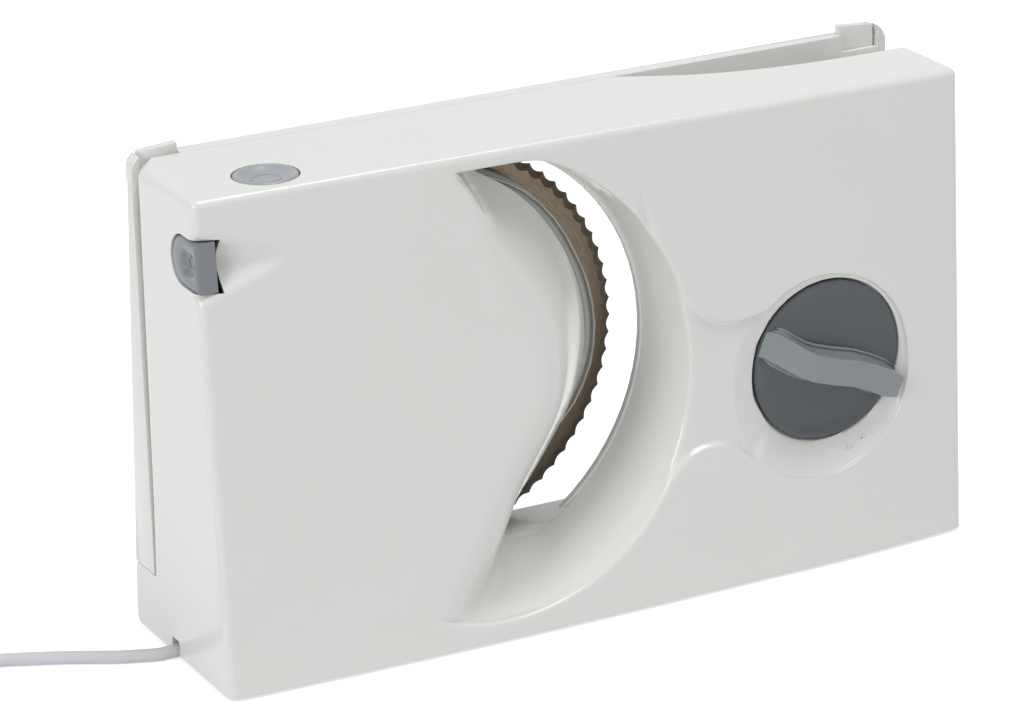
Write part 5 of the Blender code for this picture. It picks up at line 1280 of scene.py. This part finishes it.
for end_name, x, mirror in (("left", 0.0, 1), ("right", TABLE_RIGHT, -1)):
    print(end_name, cut_corner("support_leg_" + end_name + "_moulded", x + 3.4 * mirror, mirror, 3.0),
          cut_corner("table_frame_moulded", x, mirror, 2.4))
    outline = [(0.2, 183.0), (0.2, 187.5)]
    outline += [(8.0 - CORNER_REACH * math.cos(a), 187.5 + CORNER_REACH * math.sin(a))
                for a in np.linspace(0.1, math.acos(4.9 / CORNER_REACH), 9)]
    outline += [(3.1, 183.0)]
    rings = [[at(x + mirror * (px + inset * 0.3), y, pz - inset) for px, pz in outline]
             for y, inset in ((77.6, 0.5), (78.1, 0.0), (83.4, 0.0), (83.9, 0.5))]
    stand_in(smooth(skin("table_corner_" + end_name, rings), 40), WHITE, "table", "white_plastic", "table_frame")

# %% [markdown]
# Between the bulge and the blade the picture shows the round lip of the chassis plate, in a warmer and darker white.
# That tone is painted shade, for the shade deep in the exit.
# It is drawn as one cross-section carried along the lip, and the plate's own edge is drawn in to lie under it.

# %% Bead on the edge of the chassis plate
# Angle in degrees and radius of the bead's outer edge, then the bead's cross-section as (radius, depth).
BEAD_OUTER = np.array(((-62, 60), (-50, 62), (-36, 65.5), (-24, 68.6), (-11, 70.6), (0, 71.3), (20, 71.5), (32, 71.9),
                       (47, 74.4), (61, 76.8), (75, 78.0), (90, 79.5)))
BEAD = ((-6.2, 50.0), (-6.2, 44.2), (-5.9, 43.0), (-5.2, 42.1), (-4.2, 41.6), (-3.1, 41.6), (-1.9, 42.2), (-0.9, 43.3),
        (-0.2, 44.8), (0.0, 46.4), (0.0, 50.0))
rings = []
for degrees in np.linspace(86, -60, 110):
    outer = float(np.interp(np.linspace(degrees - 6, degrees + 6, 13), *BEAD_OUTER.T).mean()) - 0.4
    turn = math.radians(degrees)
    rings.append([at(BLADE_X + (outer + r) * math.cos(turn), y, BLADE_Z + (outer + r) * math.sin(turn))
                  for r, y in BEAD])
bead = smooth(skin("chassis_bead", rings), 50)
# The bead gets the chassis plate's painted shade grey.
stand_in(bead, CHASSIS_PAINTED_SHADE, "housing", "white_plastic", "chassis_plate")
print("bead sections:", len(rings))


# %% Edge of the chassis plate under the bead
def from_blade(vert):
    """A vertex's x, z and radius from the blade's axis in millimetres, and its turn about it."""
    x, z = vert.co.x / MM - ORIGIN.x - BLADE_X, vert.co.z / MM - ORIGIN.z - BLADE_Z
    return x, z, math.hypot(x, z), math.atan2(z, x)


drawn_in = 0
for vert in bpy.data.objects["chassis_plate_moulded"].data.vertices:
    x, z, radius, turn = from_blade(vert)
    degrees = math.degrees(turn)
    if 68 < radius < 75 and -63 < degrees < 89:
        drawn_in += 1
        wanted = float(np.interp(degrees, *BEAD_OUTER.T)) - 1.0 - (74.5 - radius) * 0.3
        vert.co.x += (wanted / radius - 1) * x * MM
        vert.co.z += (wanted / radius - 1) * z * MM
print("chassis edge points drawn in:", drawn_in)

# %% [markdown]
# The thin edge at the right of the crescent is the stop plate's. In the picture it stands a millimetre inside the
# mouth of the shell, so the points of its concave edge move in together.

# %% Edge of the stop plate
STANDS_IN = 1.2
moved = []
for vert in bpy.data.objects["stop_plate_moulded"].data.vertices:
    x, z, radius, turn = from_blade(vert)
    wanted = mouth_radius(turn, MOUTH_BACK)
    if abs(math.degrees(turn)) < 88 and radius < wanted + 3:
        moved.append((vert, x, z, radius, radius - wanted))
shift = min(item[-1] for item in moved) + STANDS_IN
for vert, x, z, radius, _ in moved:
    vert.co.x -= shift * x / radius * MM
    vert.co.z -= shift * z / radius * MM
print("stop edge points:", len(moved), "moved in by", round(shift, 2), "mm")

# %% [markdown]
# The bulge is slimmer here than in the frame, and the worm wheel sits close behind it. A copy of the wheel has the
# front of its rim turned back, so that it stays hidden. The wheel of the frame keeps its full width.

# %% Worm wheel with its front edge turned back
WHEEL_RIM, WHEEL_FRONT = 40, 25.6
wheel = rounded_copy("worm_wheel", "blade_wheel", NYLON, "nylon", 0.1, 1, 60)
turned_back = 0
for vert in wheel.data.vertices:
    y = vert.co.y / MM - ORIGIN.y
    if from_blade(vert)[2] > WHEEL_RIM and y < WHEEL_FRONT - 0.1:
        vert.co.y += (WHEEL_FRONT - y) * MM
        turned_back += 1
print("wheel points turned back:", turned_back)

# %% [markdown]
# All other pieces of the frame keep their shape and get the finish that belongs to their material.

# %% Finishes of the pieces that stay
matched = {}
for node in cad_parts.values():
    for material_slot in node.material_slots:
        key = material_slot.material.name if material_slot.material else ""
        made = FINISHES.get(key.split(".")[0])
        if made:
            material_slot.material = made
        matched[key] = made.name if made else "left as it was"
print("slots matched:", matched)

# %% [markdown]
# ## Floor, backdrop and light
# The photograph has a pure white ground with only a faint contact shadow. The floor is plain and pale; for the eye it
# adds just enough light of its own to read as white paper, while the shadow under the object stays.

# %% Floor
GLOW = 0.55                                 # what the floor adds for the eye alone
floor = start("plane", "floor", size=8, location=(0, 0, 0))
paper = bpy.data.materials.new("white_paper")
paper.use_nodes = True
tree = paper.node_tree
tree.nodes.remove(tree.nodes["Principled BSDF"])
output = tree.nodes["Material Output"]
seen = add(tree, "ShaderNodeLightPath")
matte = add(tree, "ShaderNodeBsdfDiffuse", {"Color": linear("#F2F2F2")})
glow = add(tree, "ShaderNodeEmission", {"Color": (1, 1, 1, 1), "Strength": GLOW})
sum_both = add(tree, "ShaderNodeAddShader", {0: matte.outputs[0], 1: glow.outputs[0]})
mirrored = add(tree, "ShaderNodeMath", {0: seen.outputs["Is Camera Ray"], 1: seen.outputs["Is Glossy Ray"]},
               operation="MAXIMUM")
choice = add(tree, "ShaderNodeMixShader", {0: mirrored.outputs[0], 1: matte.outputs[0], 2: sum_both.outputs[0]})
tree.links.new(choice.outputs[0], output.inputs["Surface"])
floor.data.materials.append(paper)
print("floor:", paper.name)

# %% [markdown]
# The world is a soft grey light from all sides. Where the eye, a mirror or a clear piece looks straight at it, it is
# white, as the backdrop of a studio is.

# %% World
WORLD_LIGHT = 0.45
world = bpy.data.worlds.new("studio")
bpy.context.scene.world = world
world.use_nodes = True
tree = world.node_tree
ground = tree.nodes["Background"]
ground.inputs["Color"].default_value = (1, 1, 1, 1)
ground.inputs["Strength"].default_value = WORLD_LIGHT
white = add(tree, "ShaderNodeBackground", {"Color": (1, 1, 1, 1), "Strength": 1.0})
path_kind = add(tree, "ShaderNodeLightPath")
glossy = add(tree, "ShaderNodeMath", {0: path_kind.outputs["Is Glossy Ray"],
                                      1: path_kind.outputs["Is Transmission Ray"]}, operation="MAXIMUM")
straight = add(tree, "ShaderNodeMath", {0: path_kind.outputs["Is Camera Ray"], 1: glossy.outputs[0]},
               operation="MAXIMUM")
both = add(tree, "ShaderNodeMixShader", {0: straight.outputs[0], 1: ground.outputs[0], 2: white.outputs[0]})
tree.links.new(both.outputs[0], tree.nodes["World Output"].inputs["Surface"])
print("world light:", WORLD_LIGHT)

# %% [markdown]
# Two large soft boxes light the object, one above and one at the left. Their size keeps the highlights on the glossy
# shell wide and soft.


# %% Lamps
def lamp(name, place, width, height, watts):
    """A soft box at a place in metres that shines at the middle of the object."""
    light = bpy.data.lights.new(name, "AREA")
    light.shape, light.size, light.size_y, light.energy = "RECTANGLE", width, height, watts
    made = link(name, light)
    made.location = place
    made.rotation_euler = (Vector((0, 0, 0.1)) - Vector(place)).to_track_quat("-Z", "Y").to_euler()


lamp("top_soft_box", (0.3, -0.25, 1.7), 0.9, 0.7, 10.5)
lamp("left_soft_box", (-2.2, -0.65, 1.05), 0.9, 1.1, 17.0)
print("lamps:", len(bpy.data.lights))
